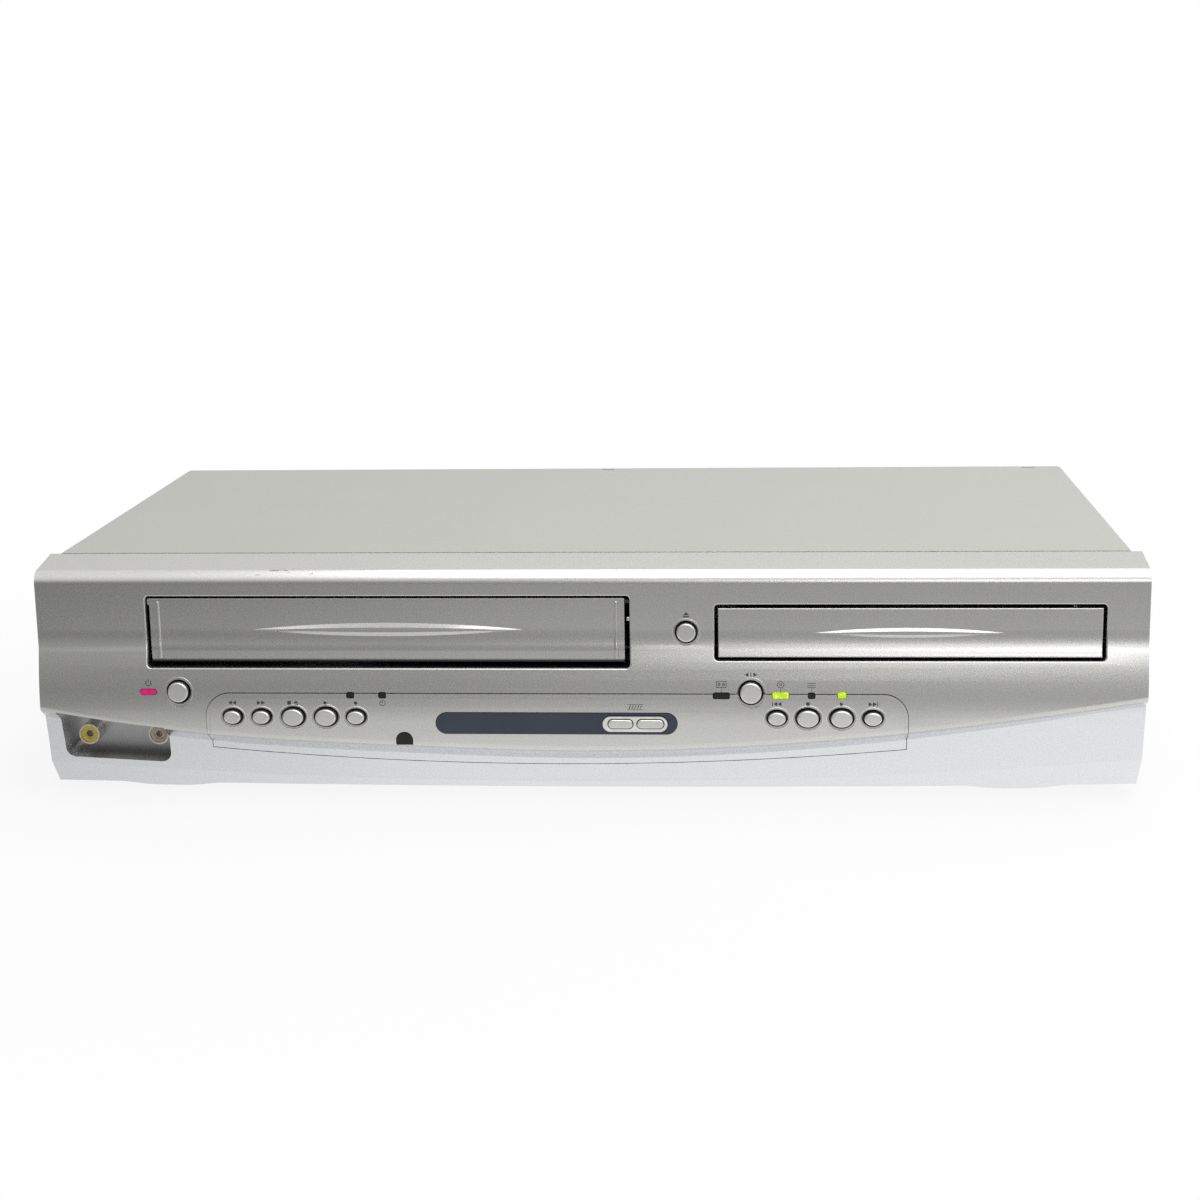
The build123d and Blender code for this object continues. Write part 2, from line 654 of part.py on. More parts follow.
# ---- rear sockets: x from the middle, height ----
REAR_JACKS = {
    "video": ((-60.0, 30.0), (-60.0, 48.0)),
    "audio": ((-42.0, 30.0), (-42.0, 48.0), (-24.0, 30.0), (-24.0, 48.0)),
    "component": ((20.0, 48.0), (38.0, 48.0), (56.0, 48.0), (20.0, 30.0), (38.0, 30.0), (56.0, 30.0)),
}
REAR_JACK_REACH = 9.0
SVIDEO = (84.0, 39.0)
SVIDEO_R = 5.2
AERIAL = ((-197.0, 32.0), (-197.0, 58.0))
AERIAL_R = 4.7
AERIAL_REACH = 9.0
CORD_X = 170.0
CORD_Z = 22.0
CORD_R = 5.5


def vent_slots(x0, x1, z0, z1, y0, y1):
    count = int((x1 - x0) / VENT_PITCH)
    return [
        box(x0 + i * VENT_PITCH, x0 + i * VENT_PITCH + VENT_W, y0, y1, z0, z1) for i in range(count)
    ]


def make_cover():
    outer = box(-COVER_X, COVER_X, COVER_Y0, REAR_Y, BASE_Z - 0.2, COVER_TOP)
    outer = fillet(outer.edges().filter_by(Axis.Y).group_by(Axis.Z)[-1], 2.2)
    inner = box(-INNER_X, INNER_X, COVER_Y0 - 1, REAR_Y + 1, 0, COVER_TOP - SHEET)
    inner = fillet(inner.edges().filter_by(Axis.Y).group_by(Axis.Z)[-1], 1.2)
    cover = outer - inner
    for x in NOTCH_X:
        y = REAR_Y - NOTCH_Y
        notch = Pos(x, y, COVER_TOP) * Box(NOTCH_W, NOTCH_L, 4 * SHEET)
        cover = cover - notch
    # Louvres low on both sides, and a hole for each side screw
    for side in (-1, 1):
        x0, x1 = sorted((side * (INNER_X - 1), side * (COVER_X + 1)))
        for i in range(LOUVRES):
            y = LOUVRE_Y + i * LOUVRE_PITCH
            cover = cover - box(x0, x1, y, y + LOUVRE_W, LOUVRE_Z0, LOUVRE_Z1)
        for y in SCREWS_SIDE_Y:
            cover = cover - rod_x(x0, x1, y, SCREWS_SIDE_Z, SCREW_R + 0.2)
    return cover


def make_pan():
    pan = box(-PAN_X, PAN_X, BEZEL_DEPTH - PAN_TONGUE, REAR_Y - REAR_T - FIT, BASE_Z, BASE_Z + SHEET)
    for side in (-1, 1):
        x0, x1 = sorted((side * (PAN_X - SHEET), side * PAN_X))
        rim = box(x0, x1, COVER_Y0, REAR_Y - REAR_T - FIT, BASE_Z, BASE_Z + PAN_RIM)
        for y in SCREWS_SIDE_Y:
            rim = rim - rod_x(x0, x1, y, SCREWS_SIDE_Z, SCREW_R + 0.2)
        pan = pan + rim
        for y in (FOOT_FRONT_Y, FOOT_REAR_Y):
            pan = pan - rod_z(side * FOOT_X, y, 0, BASE_Z + 2, 3.2)
    for x0, x1 in ((-120, -20), (60, 160)):
        for slot in vent_slots(x0, x1, 0, 20, 100, 160):
            pan = pan - slot
    return pan


def make_rear_panel():
    y0, y1 = REAR_Y - REAR_T, REAR_Y
    panel = box(-INNER_X + FIT, INNER_X - FIT, y0, y1, BASE_Z, COVER_TOP - SHEET - FIT)
    panel = fillet(panel.edges().filter_by(Axis.Y).group_by(Axis.Z)[-1], 1.4)
    # A folded rim along the top and the sides, where the cover's screws bite
    top = COVER_TOP - SHEET - FIT
    panel = panel + box(-INNER_X + 6, INNER_X - 6, y0 - 9, y0, top - SHEET, top)
    for places in REAR_JACKS.values():
        for x, z in places:
            panel = panel - rod_y(x, y0 - 1, y1 + 1, z, JACK_SHELL_R + 0.6)
    for x, z in AERIAL:
        panel = panel - rod_y(x, y0 - 1, y1 + 1, z, AERIAL_R + 0.6)
    panel = panel - rod_y(SVIDEO[0], y0 - 1, y1 + 1, SVIDEO[1], SVIDEO_R + 0.4)
    panel = panel - rod_y(CORD_X, y0 - 1, y1 + 1, CORD_Z, CORD_R + FIT)
    for x, z in SCREWS_REAR:
        panel = panel - rod_y(x, y0 - 1, y1 + 1, z, SCREW_R + 0.2)
    for x0, x1, z0, z1 in ((120, 196, 46, 76), (-165, -125, 60, 82)):
        for slot in vent_slots(x0, x1, z0, z1, y0 - 1, y1 + 1):
            panel = panel - slot
    return panel


def make_feet():
    feet = []
    for side in (-1, 1):
        for y in (FOOT_FRONT_Y, FOOT_REAR_Y):
            x = side * FOOT_X
            pad = rod_z(x, y, 0, BASE_Z, FOOT_R)
            pad = fillet(pad.edges().group_by(Axis.Z)[0], 1.2)
            stud = rod_z(x, y, BASE_Z, BASE_Z + SHEET + 1.6, 3.0)
            feet.append(pad + stud)
    return Compound(feet)


def screw(head_at, direction):
    """A pan-head screw with its cross slot, the head outside."""
    head = Pos(0, 0, SCREW_HEAD_T / 2) * Cylinder(SCREW_HEAD_R, SCREW_HEAD_T)
    head = fillet(head.edges().group_by(Axis.Z)[-1], 0.8)
    cross = Box(3.4, 0.8, 1.2) + Box(0.8, 3.4, 1.2)
    head = head - Pos(0, 0, SCREW_HEAD_T) * cross
    shank = Pos(0, 0, -3.0) * Cylinder(SCREW_R, 6.0)
    return Plane(head_at, z_dir=direction) * (head + shank)


def make_screws():
    out = [screw((x, REAR_Y + 0.02, z), (0, 1, 0)) for x, z in SCREWS_REAR]
    for side in (-1, 1):
        for y in SCREWS_SIDE_Y:
            out.append(screw((side * (COVER_X + 0.02), y, SCREWS_SIDE_Z), (side, 0, 0)))
    return Compound(out)


def rear_socket(x, z, radius, bore, reach):
    """A round socket whose shell stands out of the rear panel."""
    y0 = REAR_Y - REAR_T - 6
    end = REAR_Y + reach
    shell = rod_y(x, y0, end, z, radius)
    groove = along_y(Pos(x, z) * (Circle(radius - 0.7) - Circle(bore + 0.9)), end - 0.8, end)
    hole = rod_y(x, REAR_Y + 1, end, z, bore)
    return shell - groove - hole


def make_rear_sockets():
    """The rear phono sockets on one block behind the panel, the round video socket beside them."""
    y1 = REAR_Y - REAR_T - FIT
    places = [p for group in REAR_JACKS.values() for p in group]
    xs = [x for x, _ in places]
    block = box(min(xs) - 7, max(xs) + 7, y1 - 8, y1, 22.0, 56.0)
    for x, z in places:
        block = block + rear_socket(x, z, JACK_SHELL_R, JACK_PIN_R, REAR_JACK_REACH)
    x, z = SVIDEO
    ring = rod_y(x, y1 - 8, REAR_Y + 1.2, z, SVIDEO_R)
    ring = ring - rod_y(x, REAR_Y - 3, REAR_Y + 2, z, SVIDEO_R - 1.2)
    for a in (0.6, 2.5, 3.8, 5.6):
        ring = ring + rod_y(x + 2 * cos(a), REAR_Y - 3, REAR_Y + 0.4, z + 2 * sin(a), 0.4)
    backing = box(x - 7, x + 7, y1 - 8, y1 - 0.4, 22.0, z + 8)
    backing = backing - rod_y(x, REAR_Y - 3, REAR_Y, z, SVIDEO_R - 1.2)
    link = box(max(xs), x - 7, y1 - 8, y1 - 2, 22, 30)
    return block + backing + link + ring


def make_tuner():
    """The tuner's screened box, with the two threaded aerial sockets."""
    y1 = REAR_Y - REAR_T - FIT
    x = AERIAL[0][0]
    tuner = box(x - 14, x + 14, y1 - 38, y1, 20.0, 72.0)
    for _, z in AERIAL:
        barrel = rod_y(x, y1, REAR_Y + AERIAL_REACH, z, AERIAL_R)
        barrel = barrel - rod_y(x, REAR_Y + 3, REAR_Y + 20, z, 3.2)
        for i in range(8):
            y = REAR_Y + 1.6 + i * 1.1
            ring = Circle(AERIAL_R + 1) - Circle(AERIAL_R - 0.35)
            barrel = barrel - along_y(Pos(x, z) * ring, y, y + 0.45)
        tuner = tuner + barrel + rod_y(x, REAR_Y + 3, REAR_Y + AERIAL_REACH - 1, z, 0.5)
    return tuner + box(x - 2, x + 2, y1 - 34, y1 - 4, BASE_Z + SHEET, 20.0)


def make_cord_gland():
    """The strain relief's bush that grips the hole in the rear panel, bored for the cord."""
    y0 = REAR_Y - REAR_T
    bush = rod_y(CORD_X, y0 - 6, REAR_Y + 8, CORD_Z, CORD_R)
    bush = bush + rod_y(CORD_X, REAR_Y + 0.05, REAR_Y + 2.5, CORD_Z, CORD_R + 1.8)
    bush = bush + rod_y(CORD_X, y0 - 3, y0 - 0.05, CORD_Z, CORD_R + 1.2)
    for i in range(2):
        y = REAR_Y + 3.6 + i * 2.2
        bush = bush - along_y(Pos(CORD_X, CORD_Z) * (Circle(CORD_R + 1) - Circle(CORD_R - 1.2)), y, y + 1.0)
    return bush - rod_y(CORD_X, y0 - 8, REAR_Y + 10, CORD_Z, 3.2)

# ---- disc drive ----
TRAY_W = 131.0
TRAY_LEN = 156.0
TRAY_Z0 = 62.0
TRAY_Z1 = 68.0
TRAY_FLOOR = 2.0
DISC_Y = 68.0
DISC_R = 60.0
DISC_CLEAR = 0.9
MINI_DISC_R = 40.0
TRAY_SLOT = 18.0
TRAY_TRAVEL = 134.0
TRAY_CLEAR = 0.4
FRAME_T = 1.5
FRAME_Y1 = 180.0
FRAME_Z0 = 28.0
FRAME_Z1 = 72.0
FLOOR_Z = 55.0
GEAR_R = 9.0
GEAR_TEETH = 18
GEAR_Y = 18.5
GEAR_AXLE_R = 1.5
RACK_IN = 9.5
RACK_W = 4.2
RACK_GAP = 0.35
WORM_R = 3.0
RACK_Z = 58.5
LIFT = 5.5
LIFT_PIN_Y = (70.0, 125.0)
TRAVERSE_W = 72.0
TRAVERSE_Y0 = 48.0
TRAVERSE_Z = 50.5
SPINDLE_R = 1.0
TURNTABLE_R = 14.0
TURNTABLE_Z = 58.8
HUB_R = 7.4
HUB_H = 2.6
RAIL_X = 15.0
RAIL_R = 1.5
RAIL_Z = 54.4
PICKUP_INNER = 24.0
PICKUP_TRAVEL = 34.0
PICKUP_BACK = 16.0
RAIL_SPARE = 8.0
BRIDGE_Z = 74.0
CLAMPER_R = 15.0
CLAMPER_NECK_R = 6.2

RACK_X = TRAY_W / 2 - RACK_IN
GEAR_X = DISC_X + RACK_X - GEAR_R - RACK_GAP
TRAY_Y0 = FACE_Y + DOOR_T + 0.05
TRAY_Y1 = TRAY_Y0 + TRAY_LEN
FRAME_X = TRAY_W / 2 + TRAY_CLEAR
TRAVERSE_Y1 = DISC_Y + PICKUP_INNER + PICKUP_BACK + PICKUP_TRAVEL + RAIL_SPARE
RACK_Y1 = GEAR_Y + TRAY_TRAVEL + 2
MOTOR_Y = GEAR_Y + GEAR_R + WORM_R + RACK_GAP


def make_tray():
    half = TRAY_W / 2
    tray = box(DISC_X - half, DISC_X + half, TRAY_Y0, TRAY_Y1, TRAY_Z0, TRAY_Z1)
    tray = tray - rod_z(DISC_X, DISC_Y, TRAY_Z0 + TRAY_FLOOR, TRAY_Z1 + 1, DISC_R + DISC_CLEAR)
    tray = tray - rod_z(DISC_X, DISC_Y, TRAY_Z0 + TRAY_FLOOR - 0.8, TRAY_Z1 + 1, MINI_DISC_R + DISC_CLEAR)
    tray = tray - rod_z(DISC_X, DISC_Y, TRAY_Z0 - 1, TRAY_Z1 + 1, TRAY_SLOT)
    tray = tray - box(DISC_X - TRAY_SLOT, DISC_X + TRAY_SLOT, DISC_Y, TRAY_Y1 + 1, TRAY_Z0 - 1, TRAY_Z1 + 1)
    x0 = DISC_X + RACK_X
    rack = box(x0 + 1.0, x0 + RACK_W, 10.0, RACK_Y1, RACK_Z, TRAY_Z0)
    pitch = 2 * pi * GEAR_R / GEAR_TEETH
    for i in range(int((RACK_Y1 - 12.0) / pitch)):
        rack = rack + box(x0, x0 + 1.0, 11.0 + i * pitch, 11.0 + (i + 0.45) * pitch, RACK_Z, TRAY_Z0)
    return tray + rack


def toothed(radius, teeth, bore):
    wheel = Circle(radius - 1.2)
    for i in range(teeth):
        tooth = Pos(radius - 1.0, 0) * Rectangle(1.98, 0.42 * 2 * pi * radius / teeth)
        wheel = wheel + Rot(0, 0, 360 * i / teeth) * tooth
    return wheel - Circle(bore)


def make_tray_drive():
    z = FLOOR_Z + FRAME_T
    wheel = Pos(GEAR_X, GEAR_Y) * toothed(GEAR_R, GEAR_TEETH, GEAR_AXLE_R + 0.15)
    gear = along_z(wheel, RACK_Z, TRAY_Z0 - 0.5)
    motor = rod_z(GEAR_X, MOTOR_Y, FLOOR_Z - 18, FLOOR_Z - 0.2, 9.0)
    motor = motor + rod_z(GEAR_X, MOTOR_Y, FLOOR_Z - 1, z + 4.5, 1.0)
    motor = motor + rod_z(GEAR_X, MOTOR_Y, RACK_Z, z + 4.5, WORM_R)
    return {"tray_gear": gear, "tray_motor": motor}


def make_loader_frame():
    half = FRAME_X + FRAME_T
    frame = box(DISC_X - half, DISC_X + half, 8.0, FRAME_Y1, FLOOR_Z, FLOOR_Z + FRAME_T)
    cut = TRAVERSE_W / 2 + 2
    frame = frame - box(DISC_X - cut, DISC_X + cut, TRAVERSE_Y0 - 6, TRAVERSE_Y1 + 6, 0, TRAY_Z0)
    for side in (-1, 1):
        near, far = DISC_X + side * FRAME_X, DISC_X + side * half
        x0, x1 = sorted((near, far))
        frame = frame + box(x0, x1, 8.0, FRAME_Y1, FLOOR_Z, FRAME_Z1)
        frame = frame + box(x0, x1, 24.0, FRAME_Y1, FRAME_Z0, FLOOR_Z)
        for y in (26.0, FRAME_Y1 - 14):
            frame = frame + box(x0, x1, y, y + 12, BASE_Z + SHEET, FRAME_Z0)
        x0, x1 = sorted((near, near - side * 4.6))
        frame = frame + box(x0, x1, 8.0, FRAME_Y1, FLOOR_Z + FRAME_T, TRAY_Z0 - TRAY_CLEAR)
        for y in (12.0, 60.0, 110.0, 160.0):
            frame = frame + box(x0, x1, y, y + 10, TRAY_Z1 + TRAY_CLEAR, TRAY_Z1 + TRAY_CLEAR + FRAME_T)
        # Guide walls with the upright slots that the traverse's pins run in
        gx0, gx1 = sorted((DISC_X + side * cut, DISC_X + side * (cut + FRAME_T)))
        for y in LIFT_PIN_Y:
            wall = box(gx0, gx1, y - 8, y + 8, TRAVERSE_Z - 6, TRAY_Z0 - 1.5)
            low, high = TRAVERSE_Z - 1.1, TRAVERSE_Z + LIFT + 2.6
            frame = frame + wall - box(gx0 - 1, gx1 + 1, y - 1.7, y + 1.7, low, high)
    frame = frame + rod_z(GEAR_X, GEAR_Y, FLOOR_Z, TRAY_Z0 - 0.6, GEAR_AXLE_R)
    return frame - rod_z(GEAR_X, MOTOR_Y, FLOOR_Z - 1, FLOOR_Z + 3, 1.4)


def make_traverse():
    half = TRAVERSE_W / 2
    plate = box(DISC_X - half, DISC_X + half, TRAVERSE_Y0, TRAVERSE_Y1, TRAVERSE_Z, TRAVERSE_Z + FRAME_T)
    plate = plate - box(DISC_X - 10, DISC_X + 10, DISC_Y + 18, TRAVERSE_Y1 - 8, 0, 99)
    plate = plate - rod_z(DISC_X, DISC_Y, 0, 99, 3.2)
    for side in (-1, 1):
        for y in LIFT_PIN_Y:
            x0, x1 = sorted((DISC_X + side * half, DISC_X + side * (half + 2 + FRAME_T)))
            plate = plate + rod_x(x0, x1, y, TRAVERSE_Z + 0.75, 1.5)
        x = DISC_X + side * RAIL_X
        for y in (56.0, TRAVERSE_Y1 - 5):
            plate = plate + box(x - 2.4, x + 2.4, y, y + 4, TRAVERSE_Z + FRAME_T, RAIL_Z + 2)
        plate = plate + rod_y(x, 56.0, TRAVERSE_Y1 - 1, RAIL_Z, RAIL_R)
    motor = rod_z(DISC_X, DISC_Y, TRAVERSE_Z - 5.6, TRAVERSE_Z - 0.1, 12.0)
    motor = motor + rod_z(DISC_X, DISC_Y, TRAVERSE_Z - 1, TURNTABLE_Z + 0.8, SPINDLE_R)
    table = rod_z(DISC_X, DISC_Y, TRAVERSE_Z + 3, TURNTABLE_Z - 2, 4.0)
    table = table + rod_z(DISC_X, DISC_Y, TURNTABLE_Z - 2, TURNTABLE_Z, TURNTABLE_R)
    cone = Pos(DISC_X, DISC_Y, TURNTABLE_Z + HUB_H / 2) * Cone(HUB_R, HUB_R - 1.6, HUB_H)
    table = table + cone - rod_z(DISC_X, DISC_Y, 0, TURNTABLE_Z + 1.2, SPINDLE_R + 0.15)
    y = DISC_Y + PICKUP_INNER
    pickup = box(DISC_X - 17, DISC_X + 17, y - 8, y + PICKUP_BACK, RAIL_Z - 2, RAIL_Z + 2.1)
    for side in (-1, 1):
        pickup = pickup - rod_y(DISC_X + side * RAIL_X, 0, 200, RAIL_Z, RAIL_R + 0.2)
    pickup = pickup + rod_z(DISC_X, y, RAIL_Z + 2.1, RAIL_Z + 3.0, 6.5)
    pickup = pickup + rod_z(DISC_X, y, RAIL_Z + 3.0, RAIL_Z + 3.7, 3.4)
    return {
        "traverse_plate": plate,
        "spindle_motor": motor,
        "turntable": table,
        "optical_pickup": pickup,
    }


def make_clamp():
    half = FRAME_X + FRAME_T
    bridge = box(DISC_X - half, DISC_X + half, DISC_Y - 18, DISC_Y + 22, BRIDGE_Z, BRIDGE_Z + 1.2)
    for side in (-1, 1):
        x0, x1 = sorted((DISC_X + side * FRAME_X, DISC_X + side * half))
        bridge = bridge + box(x0, x1, DISC_Y - 18, DISC_Y + 22, FRAME_Z1 + 0.05, BRIDGE_Z)
    bridge = bridge - rod_z(DISC_X, DISC_Y, 0, 99, CLAMPER_NECK_R + 0.4)
    clamper = rod_z(DISC_X, DISC_Y, TRAY_Z1 + 0.2, TRAY_Z1 + 2.6, CLAMPER_R)
    clamper = clamper + rod_z(DISC_X, DISC_Y, TRAY_Z1 + 2.6, BRIDGE_Z + 1.6, CLAMPER_NECK_R)
    clamper = clamper + rod_z(DISC_X, DISC_Y, BRIDGE_Z + 1.6, BRIDGE_Z + 3.0, CLAMPER_NECK_R + 4)
    return {"clamp_bridge": bridge, "disc_clamper": clamper}

# ---- cassette deck ----
DECK_Z = 29.5
DECK_T = 1.5
DECK_Y0 = 30.0
DECK_Y1 = 214.0
FOOT_W = 3.8
BASKET_HALF = 95.0
BASKET_Y0 = 28.0
BASKET_LEN = 92.0
BASKET_T = 1.0
BASKET_LEDGE = 16.0
BASKET_IN = 36.0
BASKET_DOWN = 22.0
CARRIAGE_T = 1.2
SIDE_GAP = 0.5
PIN_R = 1.5
PIN_CLEAR = 0.2
PIN_Z = 62.0
PIN_Y = (50.0, 100.0)
TAB_Z = 73.0
TAB_Y = (42.0, 106.0)
DRUM_Y = 182.0
DRUM_R = 31.0
DRUM_SPLIT = 46.0
DRUM_TOP = 60.5
REEL_X = 46.0
REEL_Y = 110.0
REEL_R = 17.0
CAPSTAN_X = 44.0
CAPSTAN_Y = 154.0
CAPSTAN_R = 1.5
FLYWHEEL_R = 20.0
PINCH_R = 6.5

DECK_TOP = DECK_Z + DECK_T
BASKET_Z0 = SLOT_Z0 + 0.2
BASKET_Z1 = SLOT_Z1 - 0.2
CARRIAGE_X = BASKET_HALF + SIDE_GAP
BRACKET_X = CARRIAGE_X + CARRIAGE_T + SIDE_GAP
DECK_HALF = BRACKET_X + FOOT_W
PINCH_X = CAPSTAN_X + CAPSTAN_R + PINCH_R + 0.5
GUIDES = ((-62.0, 156.0), (-42.0, 160.0), (-26.0, 152.0), (28.0, 158.0), (70.0, 152.0))
HEADS = ((-70.0, 168.0), (38.0, 170.0))


def make_basket():
    x0, x1 = SLOT_X - BASKET_HALF, SLOT_X + BASKET_HALF
    y0, y1 = BASKET_Y0, BASKET_Y0 + BASKET_LEN
    basket = box(x0, x1, y0, y1, BASKET_Z0, BASKET_Z1)
    basket = basket - box(
        x0 + BASKET_T, x1 - BASKET_T, y0 - 1, y1 + 1, BASKET_Z0 + BASKET_T, BASKET_Z1 - BASKET_T
    )
    basket = basket - box(x0 + BASKET_LEDGE, x1 - BASKET_LEDGE, y0 - 1, y1 + 1, 0, BASKET_Z0 + 2)
    basket = basket - box(SLOT_X - 60, SLOT_X + 60, y0 + 20, y1 - 24, BASKET_Z1 - 2, 99)
    for side in (-1, 1):
        for y in PIN_Y:
            ends = (SLOT_X + side * (BASKET_HALF - 0.5), SLOT_X + side * (CARRIAGE_X + CARRIAGE_T + 0.2))
            basket = basket + rod_x(min(ends), max(ends), y, PIN_Z, PIN_R)
    return basket


def make_carriage():
    plates = []
    for side in (-1, 1):
        x0, x1 = sorted((SLOT_X + side * CARRIAGE_X, SLOT_X + side * (CARRIAGE_X + CARRIAGE_T)))
        plate = box(x0, x1, BASKET_Y0 + 8, BASKET_Y0 + BASKET_LEN - 4, PIN_Z - BASKET_DOWN - 5, TAB_Z + 5)
        for y in PIN_Y:
            gap = PIN_R + PIN_CLEAR
            plate = plate - box(x0 - 1, x1 + 1, y - gap, y + gap, PIN_Z - BASKET_DOWN - gap, PIN_Z + gap)
        for y in TAB_Y:
            a, b = sorted((SLOT_X + side * CARRIAGE_X, SLOT_X + side * (BRACKET_X + 1.8)))
            plate = plate + rod_x(a, b, y, TAB_Z, PIN_R)
        plates.append(plate)
    return Compound(plates)


def make_side_brackets():
    sides = []
    for side in (-1, 1):
        x0, x1 = sorted((SLOT_X + side * BRACKET_X, SLOT_X + side * (BRACKET_X + DECK_T)))
        y0, y1 = BASKET_Y0 + 4, BASKET_Y0 + BASKET_LEN + BASKET_IN
        wall = box(x0, x1, y0, y1, DECK_TOP + 0.02, TAB_Z + 7)
        gap = PIN_R + PIN_CLEAR
        for y in TAB_Y:
            wall = wall - box(x0 - 1, x1 + 1, y - gap, y + BASKET_IN + gap, TAB_Z - gap, TAB_Z + gap)
        foot_x0, foot_x1 = sorted((SLOT_X + side * BRACKET_X, SLOT_X + side * DECK_HALF))
        foot = box(foot_x0, foot_x1, y0, y1, DECK_TOP + 0.02, DECK_TOP + 1.2)
        sides.append(wall + foot)
    return Compound(sides)


def make_deck():
    x0, x1 = SLOT_X - DECK_HALF, SLOT_X + DECK_HALF
    plate = box(x0, x1, DECK_Y0, DECK_Y1, DECK_Z, DECK_TOP)
    plate = plate - rod_z(SLOT_X + CAPSTAN_X, CAPSTAN_Y, 0, 99, CAPSTAN_R + 0.2)
    for x in (x0 + 6, x1 - 6):
        for y in (DECK_Y0 + 6, DECK_Y1 - 6):
            plate = plate + rod_z(x, y, BASE_Z + SHEET, DECK_Z, 3.5)
    for side in (-1, 1):
        plate = plate + rod_z(SLOT_X + side * REEL_X, REEL_Y, DECK_Z, DECK_TOP + 10.4, 1.5)
    plate = plate + rod_z(SLOT_X + PINCH_X, CAPSTAN_Y, DECK_Z, DECK_TOP + 20, 1.5)
    for hole_x in (-60.0, 0.0, 60.0):
        plate = plate - box(SLOT_X + hole_x - 12, SLOT_X + hole_x + 12, 44, 80, 0, 99)
    return plate


def make_reel(side):
    x = SLOT_X + side * REEL_X
    reel = rod_z(x, REEL_Y, DECK_TOP + 0.4, DECK_TOP + 2.8, REEL_R)
    reel = reel + rod_z(x, REEL_Y, DECK_TOP + 2.8, DECK_TOP + 11.2, 8.0)
    for i in range(3):
        a = 2 * pi * i / 3
        spline = Rot(0, 0, 120 * i) * Box(3, 2, 8)
        reel = reel + Pos(x + 8.6 * cos(a), REEL_Y + 8.6 * sin(a), DECK_TOP + 6.8) * spline
    return reel - rod_z(x, REEL_Y, 0, DECK_TOP + 10.7, 1.65)


def make_tape_path():
    lower = rod_z(SLOT_X, DRUM_Y, DECK_TOP + 0.02, DRUM_SPLIT, DRUM_R)
    lower = lower + rod_z(SLOT_X, DRUM_Y, DRUM_SPLIT, DRUM_TOP + 1, 3.0)
    upper = rod_z(SLOT_X, DRUM_Y, DRUM_SPLIT + 0.4, DRUM_TOP, DRUM_R)
    upper = upper - rod_z(SLOT_X, DRUM_Y, 0, 99, 3.15)
    for i in range(4):
        a = pi * i / 2 + 0.4
        x, y = SLOT_X + (DRUM_R - 1) * cos(a), DRUM_Y + (DRUM_R - 1) * sin(a)
        upper = upper - box(x - 2, x + 2, y - 2, y + 2, 0, DRUM_SPLIT + 2)
    x = SLOT_X + CAPSTAN_X
    flywheel = rod_z(x, CAPSTAN_Y, DECK_Z - 7, DECK_Z - 3, FLYWHEEL_R)
    flywheel = flywheel + rod_z(x, CAPSTAN_Y, DECK_Z - 8, DECK_TOP + 22, CAPSTAN_R)
    motor = rod_z(x, CAPSTAN_Y, BASE_Z + SHEET + 4, DECK_Z - 8.6, FLYWHEEL_R + 1)
    pan_top = BASE_Z + SHEET
    motor = motor + box(x - 26, x + 26, CAPSTAN_Y - 24, CAPSTAN_Y + 24, pan_top + 2.4, pan_top + 4)
    for dx in (-22, 22):
        for dy in (-20, 20):
            motor = motor + rod_z(x + dx, CAPSTAN_Y + dy, pan_top, pan_top + 2.4, 2.5)
            motor = motor + rod_z(x + dx, CAPSTAN_Y + dy, pan_top + 4, DECK_Z - 0.02, 1.5)
    pinch = rod_z(SLOT_X + PINCH_X, CAPSTAN_Y, DECK_TOP + 5, DECK_TOP + 18, PINCH_R)
    pinch = pinch - rod_z(SLOT_X + PINCH_X, CAPSTAN_Y, 0, 99, 1.65)
    posts = []
    for dx, y in GUIDES:
        post = rod_z(SLOT_X + dx, y, DECK_TOP + 0.02, DECK_TOP + 21, 1.6)
        for z in (DECK_TOP + 4, DECK_TOP + 17.6):
            post = post + rod_z(SLOT_X + dx, y, z, z + 1.2, 3.4)
        posts.append(post)
    for dx, y in HEADS:
        posts.append(box(SLOT_X + dx - 6, SLOT_X + dx + 6, y - 4, y + 6, DECK_TOP + 0.02, DECK_TOP + 20))
    return {
        "lower_drum": lower,
        "upper_drum": upper,
        "capstan_flywheel": flywheel,
        "capstan_motor": motor,
        "pinch_roller": pinch,
        "tape_guides": Compound(posts),
    }


# ---- electronics ----
PCB_Z = 12.0


def standoffs(x0, x1, y0, y1, top):
    return [rod_z(x, y, BASE_Z + SHEET, top, 2.5) for x in (x0 + 5, x1 - 5) for y in (y0 + 5, y1 - 5)]


def make_main_board():
    x0, x1, y0, y1, z = DISC_X - 62, DISC_X + 62, 44.0, 164.0, PCB_Z
    board = box(x0, x1, y0, y1, z, z + BOARD_T)
    for post in standoffs(x0, x1, y0, y1, z):
        board = board + post
    top = z + BOARD_T
    for x, y, w, d in ((-30, 80, 28, 28), (20, 70, 22, 14), (20, 110, 30, 18), (-34, 130, 16, 26)):
        board = board + box(DISC_X + x - w / 2, DISC_X + x + w / 2, y - d / 2, y + d / 2, top, top + 2.4)
    for i in range(6):
        board = board + rod_z(DISC_X - 50 + 18 * i, 150.0, top, top + 9, 3.4)
    return board


